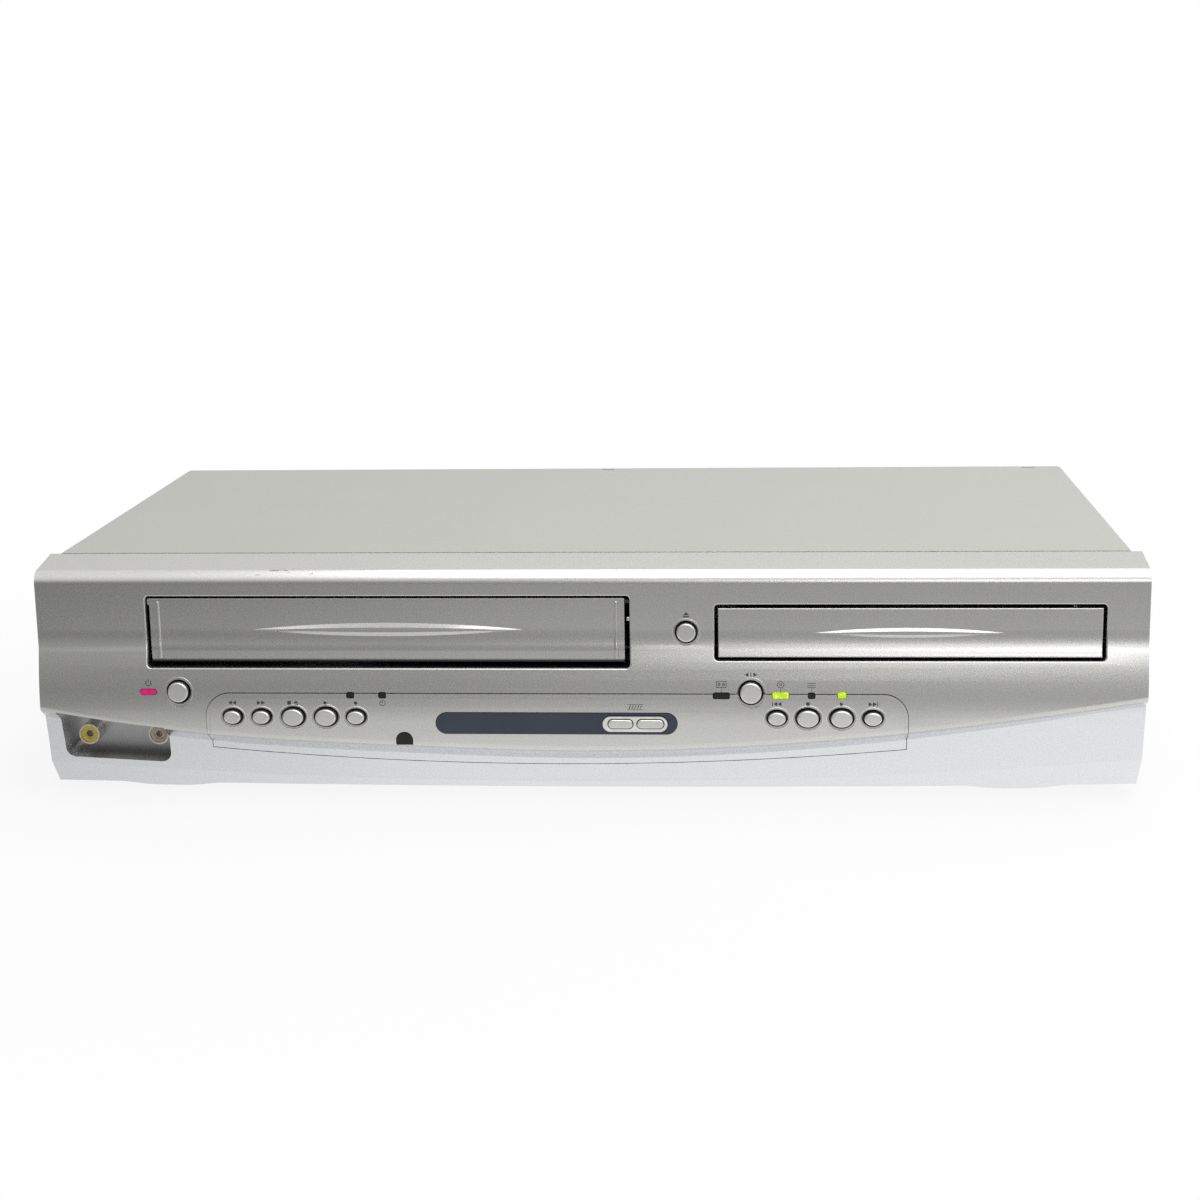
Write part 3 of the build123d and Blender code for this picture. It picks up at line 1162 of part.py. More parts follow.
def make_power_supply():
    x0, x1, y0, y1, z = 100.0, 206.0, 181.0, 221.0, PCB_Z
    board = box(x0, x1, y0, y1, z, z + BOARD_T)
    for post in standoffs(x0, x1, y0, y1, z):
        board = board + post
    top = z + BOARD_T
    core = box(138, 174, y0 + 4, y0 + 32, top, top + 28) + box(133, 179, y0 + 8, y0 + 28, top + 5, top + 23)
    sink = box(182, 200, y0 + 10, y0 + 12, top, top + 34)
    for i in range(5):
        sink = sink + box(183 + 3.8 * i, 184 + 3.8 * i, y0 + 12, y0 + 24, top, top + 34)
    board = board + core + sink + rod_z(116, y0 + 20, top, top + 26, 9.0)
    board = board + rod_z(108, y0 + 6, top, top + 14, 4.5)
    return board + rod_z(126, y0 + 8, top, top + 12, 4.0)


def make_all():
    parts = {}
    parts.update(make_front())
    parts.update(make_flap())
    parts["tray_door"] = make_door()
    parts.update(make_trim())
    parts.update(make_buttons())
    for name, x in JACKS.items():
        parts[name] = make_jack(x, POCKET_FLOOR_Y)
    parts["front_board"] = make_front_board()
    parts["top_cover"] = make_cover()
    parts["base_pan"] = make_pan()
    parts["rear_panel"] = make_rear_panel()
    parts["feet"] = make_feet()
    parts["cover_screws"] = make_screws()
    parts["rear_sockets"] = make_rear_sockets()
    parts["tuner_box"] = make_tuner()
    parts["cord_gland"] = make_cord_gland()
    parts["disc_tray"] = make_tray()
    parts.update(make_tray_drive())
    parts["loader_frame"] = make_loader_frame()
    parts.update(make_traverse())
    parts.update(make_clamp())
    parts["deck_plate"] = make_deck()
    parts["side_brackets"] = make_side_brackets()
    parts["carriage_plates"] = make_carriage()
    parts["cassette_basket"] = make_basket()
    parts["supply_reel"] = make_reel(-1)
    parts["take_up_reel"] = make_reel(1)
    parts.update(make_tape_path())
    parts["main_board"] = make_main_board()
    parts["power_supply"] = make_power_supply()
    return parts


def main():
    parts = make_all()
    boxes = [piece.bounding_box() for piece in parts.values()]
    shift = -(min(b.min.Y for b in boxes) + max(b.max.Y for b in boxes)) / 2
    os.makedirs("parts", exist_ok=True)
    for name, piece in parts.items():
        moved = Pos(0, shift, 0) * piece
        export_step(moved, f"parts/{name}.step")
    print("nodes", len(parts), "shift along Y", round(shift, 4))


main()
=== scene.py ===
import bmesh
import bpy
import json
from math import asin, cos, pi, radians, sin, sqrt
from mathutils import Matrix, Vector


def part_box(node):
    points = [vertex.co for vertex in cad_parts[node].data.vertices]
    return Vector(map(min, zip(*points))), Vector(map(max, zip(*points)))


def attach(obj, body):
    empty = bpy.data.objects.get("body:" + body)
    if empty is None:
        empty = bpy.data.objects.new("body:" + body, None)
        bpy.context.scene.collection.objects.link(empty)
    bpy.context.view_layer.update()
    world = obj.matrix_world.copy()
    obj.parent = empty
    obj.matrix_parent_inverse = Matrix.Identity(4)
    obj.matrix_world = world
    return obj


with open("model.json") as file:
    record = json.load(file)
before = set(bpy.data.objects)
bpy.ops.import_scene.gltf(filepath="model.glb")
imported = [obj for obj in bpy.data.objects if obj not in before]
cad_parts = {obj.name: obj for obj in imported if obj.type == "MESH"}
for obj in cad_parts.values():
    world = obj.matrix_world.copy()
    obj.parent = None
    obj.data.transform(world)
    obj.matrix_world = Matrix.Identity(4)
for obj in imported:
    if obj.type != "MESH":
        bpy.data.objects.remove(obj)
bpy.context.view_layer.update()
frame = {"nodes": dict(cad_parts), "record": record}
MM = 0.001

# ---- places read from the frame, in mm ----
def node_box(name):
    low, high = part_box(name)
    return [v / MM for v in low], [v / MM for v in high]


FACE_PROUD = 3.75                      # how far the belly stands out of the upper face
BELLY_Y = node_box("front_bezel")[0][1]
FACE_Y = BELLY_Y + FACE_PROUD
BELLY_Z, KINK_Z = 34.0, 63.0
BELLY_R = ((KINK_Z - BELLY_Z) ** 2 + FACE_PROUD**2) / (2 * FACE_PROUD)
FIT_Y = FACE_Y + 3.0                   # the plane that the camera was fitted to

# ---- places on the front, in mm from the middle and from the floor ----
JACK_X, JACK_Z = {"front_video_jack": -202.3, "front_audio_jack": -173.7}, 25.0
POWER_SIGN = (-173.3, 49.6)
TRAY_SIGN_Z = 76.6
TAPE_SIGN = (53.6, 49.4)
DISC_SIGN = (76.6, 49.4)
CLOCK_SIGN = (-79.7, 41.8)
SCAN_SIGN = (88.6, 48.2)
TRACKING_SIGN = (20.0, 40.4)
OUTPUT_SIGN_Z = 53.2
WINDOW_TOP_Z = 46.3
KEY_Z = 33.9

# ---- stage ----
# Share of plain white in the floor as the camera sees it, by metres from the object
FLOOR_LIFT = ((0.22, 0.86), (0.55, 1.0))
# What the paint mirrors: brightness by metres in front, by metres to the right of FLOOR_LEFT, and by the
# height that is looked to
FLOOR_LEFT = -0.5
FLOOR_AHEAD = ((0.10, 1.15), (0.24, 1.0), (0.36, 0.50), (0.70, 0.36))
FLOOR_ACROSS = ((0.10, 0.45), (0.45, 0.90), (0.90, 1.0))
SKY = ((0.0, 0.34), (0.16, 0.30), (0.42, 0.80), (0.62, 0.95), (0.85, 1.0))
SKY_LIGHT = 0.35
# name, place, aim, size, watts
LAMPS = (
    ("overhead", (0.60, -0.15, 1.35), (0.60, -0.15, 0), (1.9, 2.6), 26),
    ("window", (0.62, -1.9, 0.62), (0.1, 0, 0.06), (1.15, 0.5), 4.2),
    ("side_fill", (1.4, -0.5, 0.5), (0, 0, 0.05), (0.7, 0.7), 1.5),
)

# ---- camera: fitted to the photograph ----
CAMERA_AT = (66.300, -824.444, 268.039)
CAMERA_YAW, CAMERA_PITCH, CAMERA_ROLL = -0.0725, 0.2215, -0.0167
LENS_PX, FRAME_PX, SENSOR = 2172.87, 1200, 36.0


def make_camera():
    data = bpy.data.cameras.new("camera")
    data.sensor_width = SENSOR
    data.lens = SENSOR * LENS_PX / FRAME_PX
    data.clip_start, data.clip_end = 0.01, 50
    camera = bpy.data.objects.new("camera", data)
    bpy.context.scene.collection.objects.link(camera)
    turn = Matrix.Rotation(-CAMERA_YAW, 4, "Z") @ Matrix.Rotation(pi / 2 - CAMERA_PITCH, 4, "X")
    at = Vector((CAMERA_AT[0], CAMERA_AT[1] + FIT_Y, CAMERA_AT[2])) * MM
    camera.matrix_world = Matrix.Translation(at) @ turn @ Matrix.Rotation(CAMERA_ROLL, 4, "Z")
    bpy.context.scene.camera = camera


def make_lamp(name, at, aim, size, power, tint=(1, 1, 1)):
    data = bpy.data.lights.new(name, "AREA")
    data.shape, data.size, data.size_y = "RECTANGLE", size[0], size[1]
    data.energy, data.color = power, tint
    lamp = bpy.data.objects.new(name, data)
    bpy.context.scene.collection.objects.link(lamp)
    lamp.location = at
    lamp.rotation_euler = (Vector(aim) - Vector(at)).to_track_quat("-Z", "Y").to_euler()


def math_node(tree, operation, first, second):
    """A Math node whose inputs are numbers or sockets."""
    node = tree.nodes.new("ShaderNodeMath")
    node.operation = operation
    for socket, value in zip(node.inputs, (first, second)):
        if isinstance(value, (int, float)):
            socket.default_value = value
        else:
            tree.links.new(value, socket)
    return node.outputs[0]


def ramp_node(tree, value, stops):
    """A grey ramp through (position, brightness) stops."""
    node = tree.nodes.new("ShaderNodeValToRGB")
    ramp = node.color_ramp
    while len(ramp.elements) < len(stops):
        ramp.elements.new(1.0)
    for element, (position, grey) in zip(ramp.elements, stops):
        element.position = position
        element.color = (grey, grey, grey, 1)
    tree.links.new(value, node.inputs["Fac"])
    return node.outputs["Color"]


def make_floor_paper(tree):
    """White paper that keeps the object's shadow. In gloss it is bright near the object, dim further off."""
    shader = tree.nodes["Principled BSDF"]
    shader.inputs["Base Color"].default_value = (0.85, 0.85, 0.85, 1)
    shader.inputs["Roughness"].default_value = 0.9
    shader.inputs["Specular IOR Level"].default_value = 0.0
    path = tree.nodes.new("ShaderNodeLightPath")
    place = tree.nodes.new("ShaderNodeTexCoord")
    axes = tree.nodes.new("ShaderNodeSeparateXYZ")
    tree.links.new(place.outputs["Object"], axes.inputs[0])
    forward = math_node(tree, "MULTIPLY", axes.outputs["Y"], -1.0)
    ahead = ramp_node(tree, forward, FLOOR_AHEAD)
    across = ramp_node(tree, math_node(tree, "SUBTRACT", axes.outputs["X"], FLOOR_LEFT), FLOOR_ACROSS)
    gloss_level = math_node(tree, "MULTIPLY", ahead, across)
    paper = tree.nodes.new("ShaderNodeEmission")
    gloss = tree.nodes.new("ShaderNodeEmission")
    tree.links.new(gloss_level, gloss.inputs["Strength"])
    seen = tree.nodes.new("ShaderNodeMixShader")
    far = tree.nodes.new("ShaderNodeVectorMath")
    far.operation = "LENGTH"
    tree.links.new(place.outputs["Object"], far.inputs[0])
    lift = ramp_node(tree, far.outputs["Value"], FLOOR_LIFT)
    tree.links.new(math_node(tree, "MULTIPLY", path.outputs["Is Camera Ray"], lift), seen.inputs["Fac"])
    tree.links.new(shader.outputs[0], seen.inputs[1])
    tree.links.new(paper.outputs[0], seen.inputs[2])
    mirrored = tree.nodes.new("ShaderNodeMixShader")
    tree.links.new(path.outputs["Is Glossy Ray"], mirrored.inputs["Fac"])
    tree.links.new(seen.outputs[0], mirrored.inputs[1])
    tree.links.new(gloss.outputs[0], mirrored.inputs[2])
    tree.links.new(mirrored.outputs[0], tree.nodes["Material Output"].inputs["Surface"])


def make_world():
    """A pale tent: dim at the horizon, brighter overhead, plain white to the camera."""
    world = bpy.data.worlds.new("studio")
    bpy.context.scene.world = world
    world.use_nodes = True
    tree = world.node_tree
    lit = tree.nodes["Background"]
    where = tree.nodes.new("ShaderNodeTexCoord")
    axes = tree.nodes.new("ShaderNodeSeparateXYZ")
    tree.links.new(where.outputs["Generated"], axes.inputs[0])
    tree.links.new(ramp_node(tree, axes.outputs["Z"], SKY), lit.inputs["Color"])
    path = tree.nodes.new("ShaderNodeLightPath")
    strength = math_node(tree, "MULTIPLY", path.outputs["Is Glossy Ray"], 1.0 - SKY_LIGHT)
    tree.links.new(math_node(tree, "ADD", strength, SKY_LIGHT), lit.inputs["Strength"])
    seen = tree.nodes.new("ShaderNodeBackground")
    seen.inputs["Color"].default_value = (1, 1, 1, 1)
    choice = tree.nodes.new("ShaderNodeMixShader")
    tree.links.new(path.outputs["Is Camera Ray"], choice.inputs["Fac"])
    tree.links.new(lit.outputs[0], choice.inputs[1])
    tree.links.new(seen.outputs[0], choice.inputs[2])
    tree.links.new(choice.outputs[0], tree.nodes["World Output"].inputs["Surface"])


def make_stage():
    sheet = bpy.data.meshes.new("floor")
    grid = bmesh.new()
    bmesh.ops.create_grid(grid, x_segments=1, y_segments=1, size=6)
    grid.to_mesh(sheet)
    grid.free()
    floor = bpy.data.objects.new("floor", sheet)
    bpy.context.scene.collection.objects.link(floor)
    material = bpy.data.materials.new("floor_white")
    material.use_nodes = True
    make_floor_paper(material.node_tree)
    sheet.materials.append(material)
    make_world()
    for lamp in LAMPS:
        make_lamp(*lamp)
    bpy.context.scene.view_settings.view_transform = "Standard"


# ---- how a material is wired ----
class Finish:
    """A material under construction: object coordinates in metres, and helpers for its nodes."""

    def __init__(self, name):
        self.material = bpy.data.materials.new(name)
        self.material.use_nodes = True
        self.tree = self.material.node_tree
        self.shader = self.tree.nodes["Principled BSDF"]
        self.place = self.new("ShaderNodeTexCoord").outputs["Object"]

    def new(self, kind, **settings):
        node = self.tree.nodes.new(kind)
        for key, value in settings.items():
            setattr(node, key, value)
        return node

    def wire(self, source, target):
        self.tree.links.new(source, target)

    def set(self, **values):
        for key, value in values.items():
            self.shader.inputs[key.replace("_", " ")].default_value = value

    def noise(self, scale, detail=2.0, rough=0.5, stretch=None):
        node = self.new("ShaderNodeTexNoise")
        node.inputs["Scale"].default_value = scale
        node.inputs["Detail"].default_value = detail
        node.inputs["Roughness"].default_value = rough
        place = self.place
        if stretch:
            mapping = self.new("ShaderNodeMapping")
            mapping.inputs["Scale"].default_value = stretch
            self.wire(place, mapping.inputs["Vector"])
            place = mapping.outputs["Vector"]
        self.wire(place, node.inputs["Vector"])
        return node.outputs["Fac"]

    def spread(self, value, low, high, out_low=0.0, out_high=1.0):
        node = self.new("ShaderNodeMapRange")
        for key, number in (("From Min", low), ("From Max", high), ("To Min", out_low), ("To Max", out_high)):
            node.inputs[key].default_value = number
        self.wire(value, node.inputs["Value"])
        return node.outputs["Result"]

    def mix(self, amount, first, second):
        node = self.new("ShaderNodeMix", data_type="RGBA")
        for socket, value in ((node.inputs[0], amount), (node.inputs[6], first), (node.inputs[7], second)):
            if isinstance(value, (tuple, list)):
                socket.default_value = (*value, 1)
            elif isinstance(value, (int, float)):
                socket.default_value = value
            else:
                self.wire(value, socket)
        return node.outputs[2]

    def math(self, operation, first, second=0.0):
        return math_node(self.tree, operation, first, second)

    def axis(self, letter):
        node = self.new("ShaderNodeSeparateXYZ")
        self.wire(self.place, node.inputs[0])
        return node.outputs[letter]

    def colour(self, value):
        self.wire(value, self.shader.inputs["Base Color"])

    def roughness(self, value):
        self.wire(value, self.shader.inputs["Roughness"])

    def bump(self, height, strength, distance):
        node = self.new("ShaderNodeBump")
        node.inputs["Strength"].default_value = strength
        node.inputs["Distance"].default_value = distance
        self.wire(height, node.inputs["Height"])
        self.wire(node.outputs["Normal"], self.shader.inputs["Normal"])


def tone(colour, factor):
    return tuple(min(1.0, c * factor) for c in colour)


# ---- finishes ----
UPPER_SILVER = (0.60, 0.595, 0.575)
LOWER_SILVER = (0.74, 0.745, 0.76)
CAP_SILVER = (0.66, 0.655, 0.64)
# near black: the bare plastic inside, and the painted shade in holes and gaps
BARE_PLASTIC_AND_SHADE = (0.012, 0.012, 0.013)
PAINT_METAL = 0.88
POCKET_PAINTED_SHADE = (0.20, 0.195, 0.19)
SCUFF_GREY = (0.12, 0.12, 0.12)
SCUFF_Z = (90.5, 93.5)                 # between these heights the scuffs on the top round begin
SCUFF_BACK = (7.0, 3.0)                # and between these depths behind the upper face
LOW_ZONE_TOP, LOW_ZONE_BACK = 46.0, 2.65       # top of the paler zone under the lip, and its step back
POCKET_X, POCKET_Z = (-213, -167), (14.5, 39)
LOW_LEAN = 0.179                       # how the lower zone leans back
LOW_Y = BELLY_Y + 11.76                # where it would meet the floor
KINK_SLOPE = (KINK_Z - BELLY_Z) / BELLY_R      # how steeply the belly meets the upper face
KINK_SWEEP = 8.0                       # how far above the kink its curve is shaded
KINK_SHORT = 1.55                      # half of the CAD's own round there


def within(f, letter, low, high):
    """1 where a coordinate lies between two heights in mm, 0 outside."""
    place = f.axis(letter)
    edge = 0.05 * MM
    above = f.spread(place, low * MM - edge, low * MM + edge)
    below = f.spread(place, high * MM + edge, high * MM - edge)
    return f.math("MULTIPLY", above, below)


def below_front(f):
    """How far a point lies behind the front, in metres. The front is flat above the kink, an arc below it."""
    height = f.math("SUBTRACT", f.math("MINIMUM", f.axis("Z"), KINK_Z * MM), BELLY_Z * MM)
    drop = f.math("MULTIPLY", height, height)
    arc = f.math("SQRT", f.math("SUBTRACT", (BELLY_R * MM) ** 2, drop))
    front = f.math("SUBTRACT", (BELLY_Y + BELLY_R) * MM, arc)
    return f.math("SUBTRACT", f.axis("Y"), front)


def bare_and_shaded(f, zones):
    """1 on faces that look backwards, and in each zone below its depth: bare black plastic, and painted shade
    down the walls of the holes and gaps.
    """
    normal = f.new("ShaderNodeSeparateXYZ")
    f.wire(f.new("ShaderNodeNewGeometry").outputs["True Normal"], normal.inputs[0])
    bare_and_shade = f.spread(normal.outputs["Y"], 0.25, 0.35)
    drop = below_front(f)
    for x0, x1, z0, z1, depth in zones:
        behind = f.spread(drop, (depth - 0.1) * MM, (depth + 0.1) * MM)
        zone = f.math("MULTIPLY", within(f, "X", x0, x1), within(f, "Z", z0, z1))
        bare_and_shade = f.math("MAXIMUM", bare_and_shade, f.math("MULTIPLY", zone, behind))
    return bare_and_shade


def soft_kink(f):
    """Shades the face above the kink as the long soft curve that runs into the belly."""
    rise = f.math("SUBTRACT", f.axis("Z"), KINK_Z * MM)
    reach = f.math("MAXIMUM", f.math("SUBTRACT", KINK_SWEEP * MM, rise), 0.0)
    reach = f.math("MINIMUM", reach, KINK_SWEEP * MM)
    curve = f.math("MULTIPLY", f.math("MULTIPLY", reach, reach), KINK_SLOPE / (2 * KINK_SWEEP * MM))
    away = f.math("MAXIMUM", f.math("SUBTRACT", KINK_SHORT * MM, f.math("ABSOLUTE", rise)), 0.0)
    short = f.math("MULTIPLY", f.math("MULTIPLY", away, away), KINK_SLOPE / (4 * KINK_SHORT * MM))
    node = f.new("ShaderNodeBump")
    node.inputs["Strength"].default_value = 1.0
    node.inputs["Distance"].default_value = 1.0
    f.wire(f.math("SUBTRACT", curve, short), node.inputs["Height"])
    f.wire(f.shader.inputs["Normal"].links[0].from_socket, node.inputs["Normal"])
    f.wire(node.outputs["Normal"], f.shader.inputs["Normal"])


def pocket_painted_shade(f):
    """0 to 1 into the recess of the front sockets: painted shade on its walls, where the housing shades them,
    deeper lower down.
    """
    zone = f.math("MULTIPLY", within(f, "X", *POCKET_X), within(f, "Z", *POCKET_Z))
    lean = f.math("MULTIPLY", f.axis("Z"), LOW_LEAN)
    deep = f.spread(f.math("ADD", f.axis("Y"), lean), (LOW_Y + 1.2) * MM, (LOW_Y + 9.0) * MM)
    low = f.spread(f.axis("Z"), 36 * MM, 16 * MM, 0.35, 0.95)
    return f.math("MULTIPLY", f.math("MULTIPLY", zone, deep), low)


def under_lip(f):
    """1 on the paler zone under the swooping lip."""
    below = f.spread(f.axis("Z"), (LOW_ZONE_TOP + 0.2) * MM, (LOW_ZONE_TOP - 0.2) * MM)
    back = BELLY_Y + LOW_ZONE_BACK
    behind = f.spread(f.axis("Y"), (back - 0.25) * MM, (back + 0.25) * MM)
    return f.math("MULTIPLY", below, behind)


def scuff_marks(f):
    """A few thin rubbed marks along the round at the top of the front."""
    high = f.spread(f.axis("Z"), SCUFF_Z[0] * MM, SCUFF_Z[1] * MM)
    front = f.spread(f.axis("Y"), (FACE_Y + SCUFF_BACK[0]) * MM, (FACE_Y + SCUFF_BACK[1]) * MM)
    marks = f.spread(f.noise(230, 6.0, 0.8, (0.4, 1, 1.6)), 0.60, 0.63)
    place = f.spread(f.noise(14, 1.0), 0.56, 0.62)
    return f.math("MULTIPLY", f.math("MULTIPLY", high, front), f.math("MULTIPLY", marks, place))


def silver_paint(name, base, low_zone=None, gloss=0.27, scuffs=False, zones=(), shade=None, sweep=False):
    """Metallic silver paint on moulded plastic: fine flake, slight mottling, a soft grain in its gloss."""
    f = Finish(name)
    flake = f.spread(f.noise(2600, 2.0, 0.6), 0.3, 0.7)
    mottle = f.spread(f.noise(24, 2.0), 0.3, 0.7)
    colour = f.mix(flake, tone(base, 0.94), tone(base, 1.05))
    colour = f.mix(f.math("MULTIPLY", mottle, 0.3), colour, tone(base, 1.03))
    if low_zone:
        pale = f.mix(flake, tone(low_zone, 0.97), tone(low_zone, 1.03))
        colour = f.mix(under_lip(f), colour, pale)
    if scuffs:
        colour = f.mix(scuff_marks(f), colour, SCUFF_GREY)
    # painted shade in the recess of the front sockets
    if shade:
        colour = f.mix(shade(f), colour, POCKET_PAINTED_SHADE)
    f.set(Coat_Weight=0.08, Coat_Roughness=0.25)
    # black on the back as bare plastic, and down the walls of holes and gaps as painted shade
    if zones:
        bare_and_shade = bare_and_shaded(f, zones)
        colour = f.mix(bare_and_shade, colour, BARE_PLASTIC_AND_SHADE)
        f.wire(f.spread(bare_and_shade, 0, 1, PAINT_METAL, 0.0), f.shader.inputs["Metallic"])
    else:
        f.set(Metallic=PAINT_METAL)
    f.colour(colour)
    f.roughness(f.spread(f.noise(1500, 2.0), 0.3, 0.7, gloss - 0.01, gloss + 0.015))
    f.bump(f.noise(3200, 2.0), 0.04, 0.00002)
    if sweep:
        soft_kink(f)
    return f.material


def moulded(name, base, gloss=0.45, grain=1400, depth=0.00003):
    """Plain moulded plastic with a fine spark-eroded grain and faint handling marks."""
    f = Finish(name)
    cloud = f.spread(f.noise(60, 4.0), 0.3, 0.7)
    f.colour(f.mix(cloud, tone(base, 0.86), tone(base, 1.14)))
    f.roughness(f.spread(f.noise(240, 4.0), 0.3, 0.7, gloss - 0.07, gloss + 0.09))
    f.bump(f.noise(grain, 2.0), 0.25, depth)
    return f.material


def sheet_metal(name, base, rough=0.34, brushed=(1, 60, 60)):
    """Zinc-plated or rolled steel: fine streaks one way, cloudy spangle."""
    f = Finish(name)
    streak = f.spread(f.noise(60, 5.0, 0.6, brushed), 0.25, 0.75)
    cloud = f.spread(f.noise(45, 2.0), 0.35, 0.65)
    colour = f.mix(streak, tone(base, 0.86), tone(base, 1.10))
    colour = f.mix(f.math("MULTIPLY", cloud, 0.4), colour, tone(base, 0.9))
    f.colour(colour)
    f.set(Metallic=1.0)
    f.roughness(f.spread(streak, 0, 1, rough - 0.06, rough + 0.1))
    f.bump(streak, 0.08, 0.00002)
    return f.material


def textured_paint(name, base, rough=0.55, grain=1500):
    """Baked paint on sheet steel with a fine orange peel and speckle."""
    f = Finish(name)
    speck = f.spread(f.noise(2600, 2.0), 0.3, 0.7)
    cloud = f.spread(f.noise(20, 3.0), 0.3, 0.7)
    colour = f.mix(speck, tone(base, 0.88), tone(base, 1.10))
    colour = f.mix(f.math("MULTIPLY", cloud, 0.5), colour, tone(base, 1.03))
    f.colour(colour)
    f.set(Metallic=0.15)
    f.roughness(f.spread(f.noise(300, 3.0), 0.3, 0.7, rough - 0.06, rough + 0.08))
    f.bump(f.noise(grain, 3.0), 0.35, 0.00004)
    return f.material


def plated(name, base=(0.80, 0.79, 0.76), rough=0.16):
    """Bright plating, slightly dulled in clouds, with uneven gloss and a faint grain."""
    f = Finish(name)
    f.colour(f.mix(f.spread(f.noise(300, 4.0), 0.35, 0.65), tone(base, 0.88), base))
    f.set(Metallic=1.0)
    f.roughness(f.spread(f.noise(500, 5.0), 0.3, 0.7, rough - 0.06, rough + 0.12))
    f.bump(f.noise(900, 3.0), 0.06, 0.00002)
    return f.material


def light_pipe(name, base, glow, spot=None):
    """A lit, slightly frosted lens, with brighter spots in it."""
    f = Finish(name)
    frost = f.spread(f.noise(1800, 3.0), 0.3, 0.7)
    spots = f.spread(f.noise(700, 1.0), 0.52, 0.60)
    tint = f.mix(spots, f.mix(frost, tone(base, 0.8), base), spot or base)
    f.colour(tint)
    f.wire(tint, f.shader.inputs["Emission Color"])
    f.set(Roughness=0.25, Emission_Strength=glow, Coat_Weight=0.15)
    f.bump(frost, 0.1, 0.00003)
    return f.material


def smoked(name):
    """A dark glossy window with faint dust."""
    f = Finish(name)
    dust = f.spread(f.noise(900, 6.0), 0.58, 0.75)
    f.colour(f.mix(dust, (0.006, 0.006, 0.007), (0.02, 0.02, 0.02)))
    f.set(Coat_Weight=0.1, Specular_IOR_Level=0.3)
    f.roughness(f.spread(dust, 0, 1, 0.18, 0.4))
    f.bump(dust, 0.05, 0.00002)
    return f.material


def laminate(name):
    """Printed board: green mask with tracks showing through as lighter lines, and dark parts on it."""
    f = Finish(name)
    tracks = f.new("ShaderNodeTexBrick")
    for key, value in (("Scale", 160.0), ("Mortar Size", 0.03), ("Bias", 0.2)):
        tracks.inputs[key].default_value = value
    tracks.inputs["Color1"].default_value = (0.02, 0.10, 0.035, 1)
    tracks.inputs["Color2"].default_value = (0.025, 0.13, 0.045, 1)
    tracks.inputs["Mortar"].default_value = (0.06, 0.24, 0.09, 1)
    f.wire(f.place, tracks.inputs["Vector"])
    f.colour(f.mix(f.spread(f.noise(90, 3.0), 0.3, 0.7), tracks.outputs["Color"], (0.02, 0.09, 0.03)))
    f.set(Coat_Weight=0.4)
    f.roughness(f.spread(f.noise(300, 2.0), 0.3, 0.7, 0.3, 0.5))
    f.bump(tracks.outputs["Fac"], 0.3, 0.00004)
    return f.material


def rubber(name, base=(0.022, 0.022, 0.023)):
    f = Finish(name)
    f.colour(f.mix(f.spread(f.noise(120, 5.0), 0.35, 0.7), base, tone(base, 2.0)))
    f.roughness(f.spread(f.noise(260, 4.0), 0.3, 0.7, 0.62, 0.85))
    f.bump(f.noise(1100, 3.0), 0.4, 0.00005)
    return f.material


def wet_print(name, base):
    """Screen-printed ink: thin, even, with slightly broken cover."""
    f = Finish(name)
    f.colour(f.mix(f.spread(f.noise(2400, 4.0), 0.45, 0.75), base, tone(base, 1.8)))
    f.roughness(f.spread(f.noise(700, 2.0), 0.3, 0.7, 0.4, 0.55))
    f.bump(f.noise(2600, 2.0), 0.1, 0.00001)
    return f.material
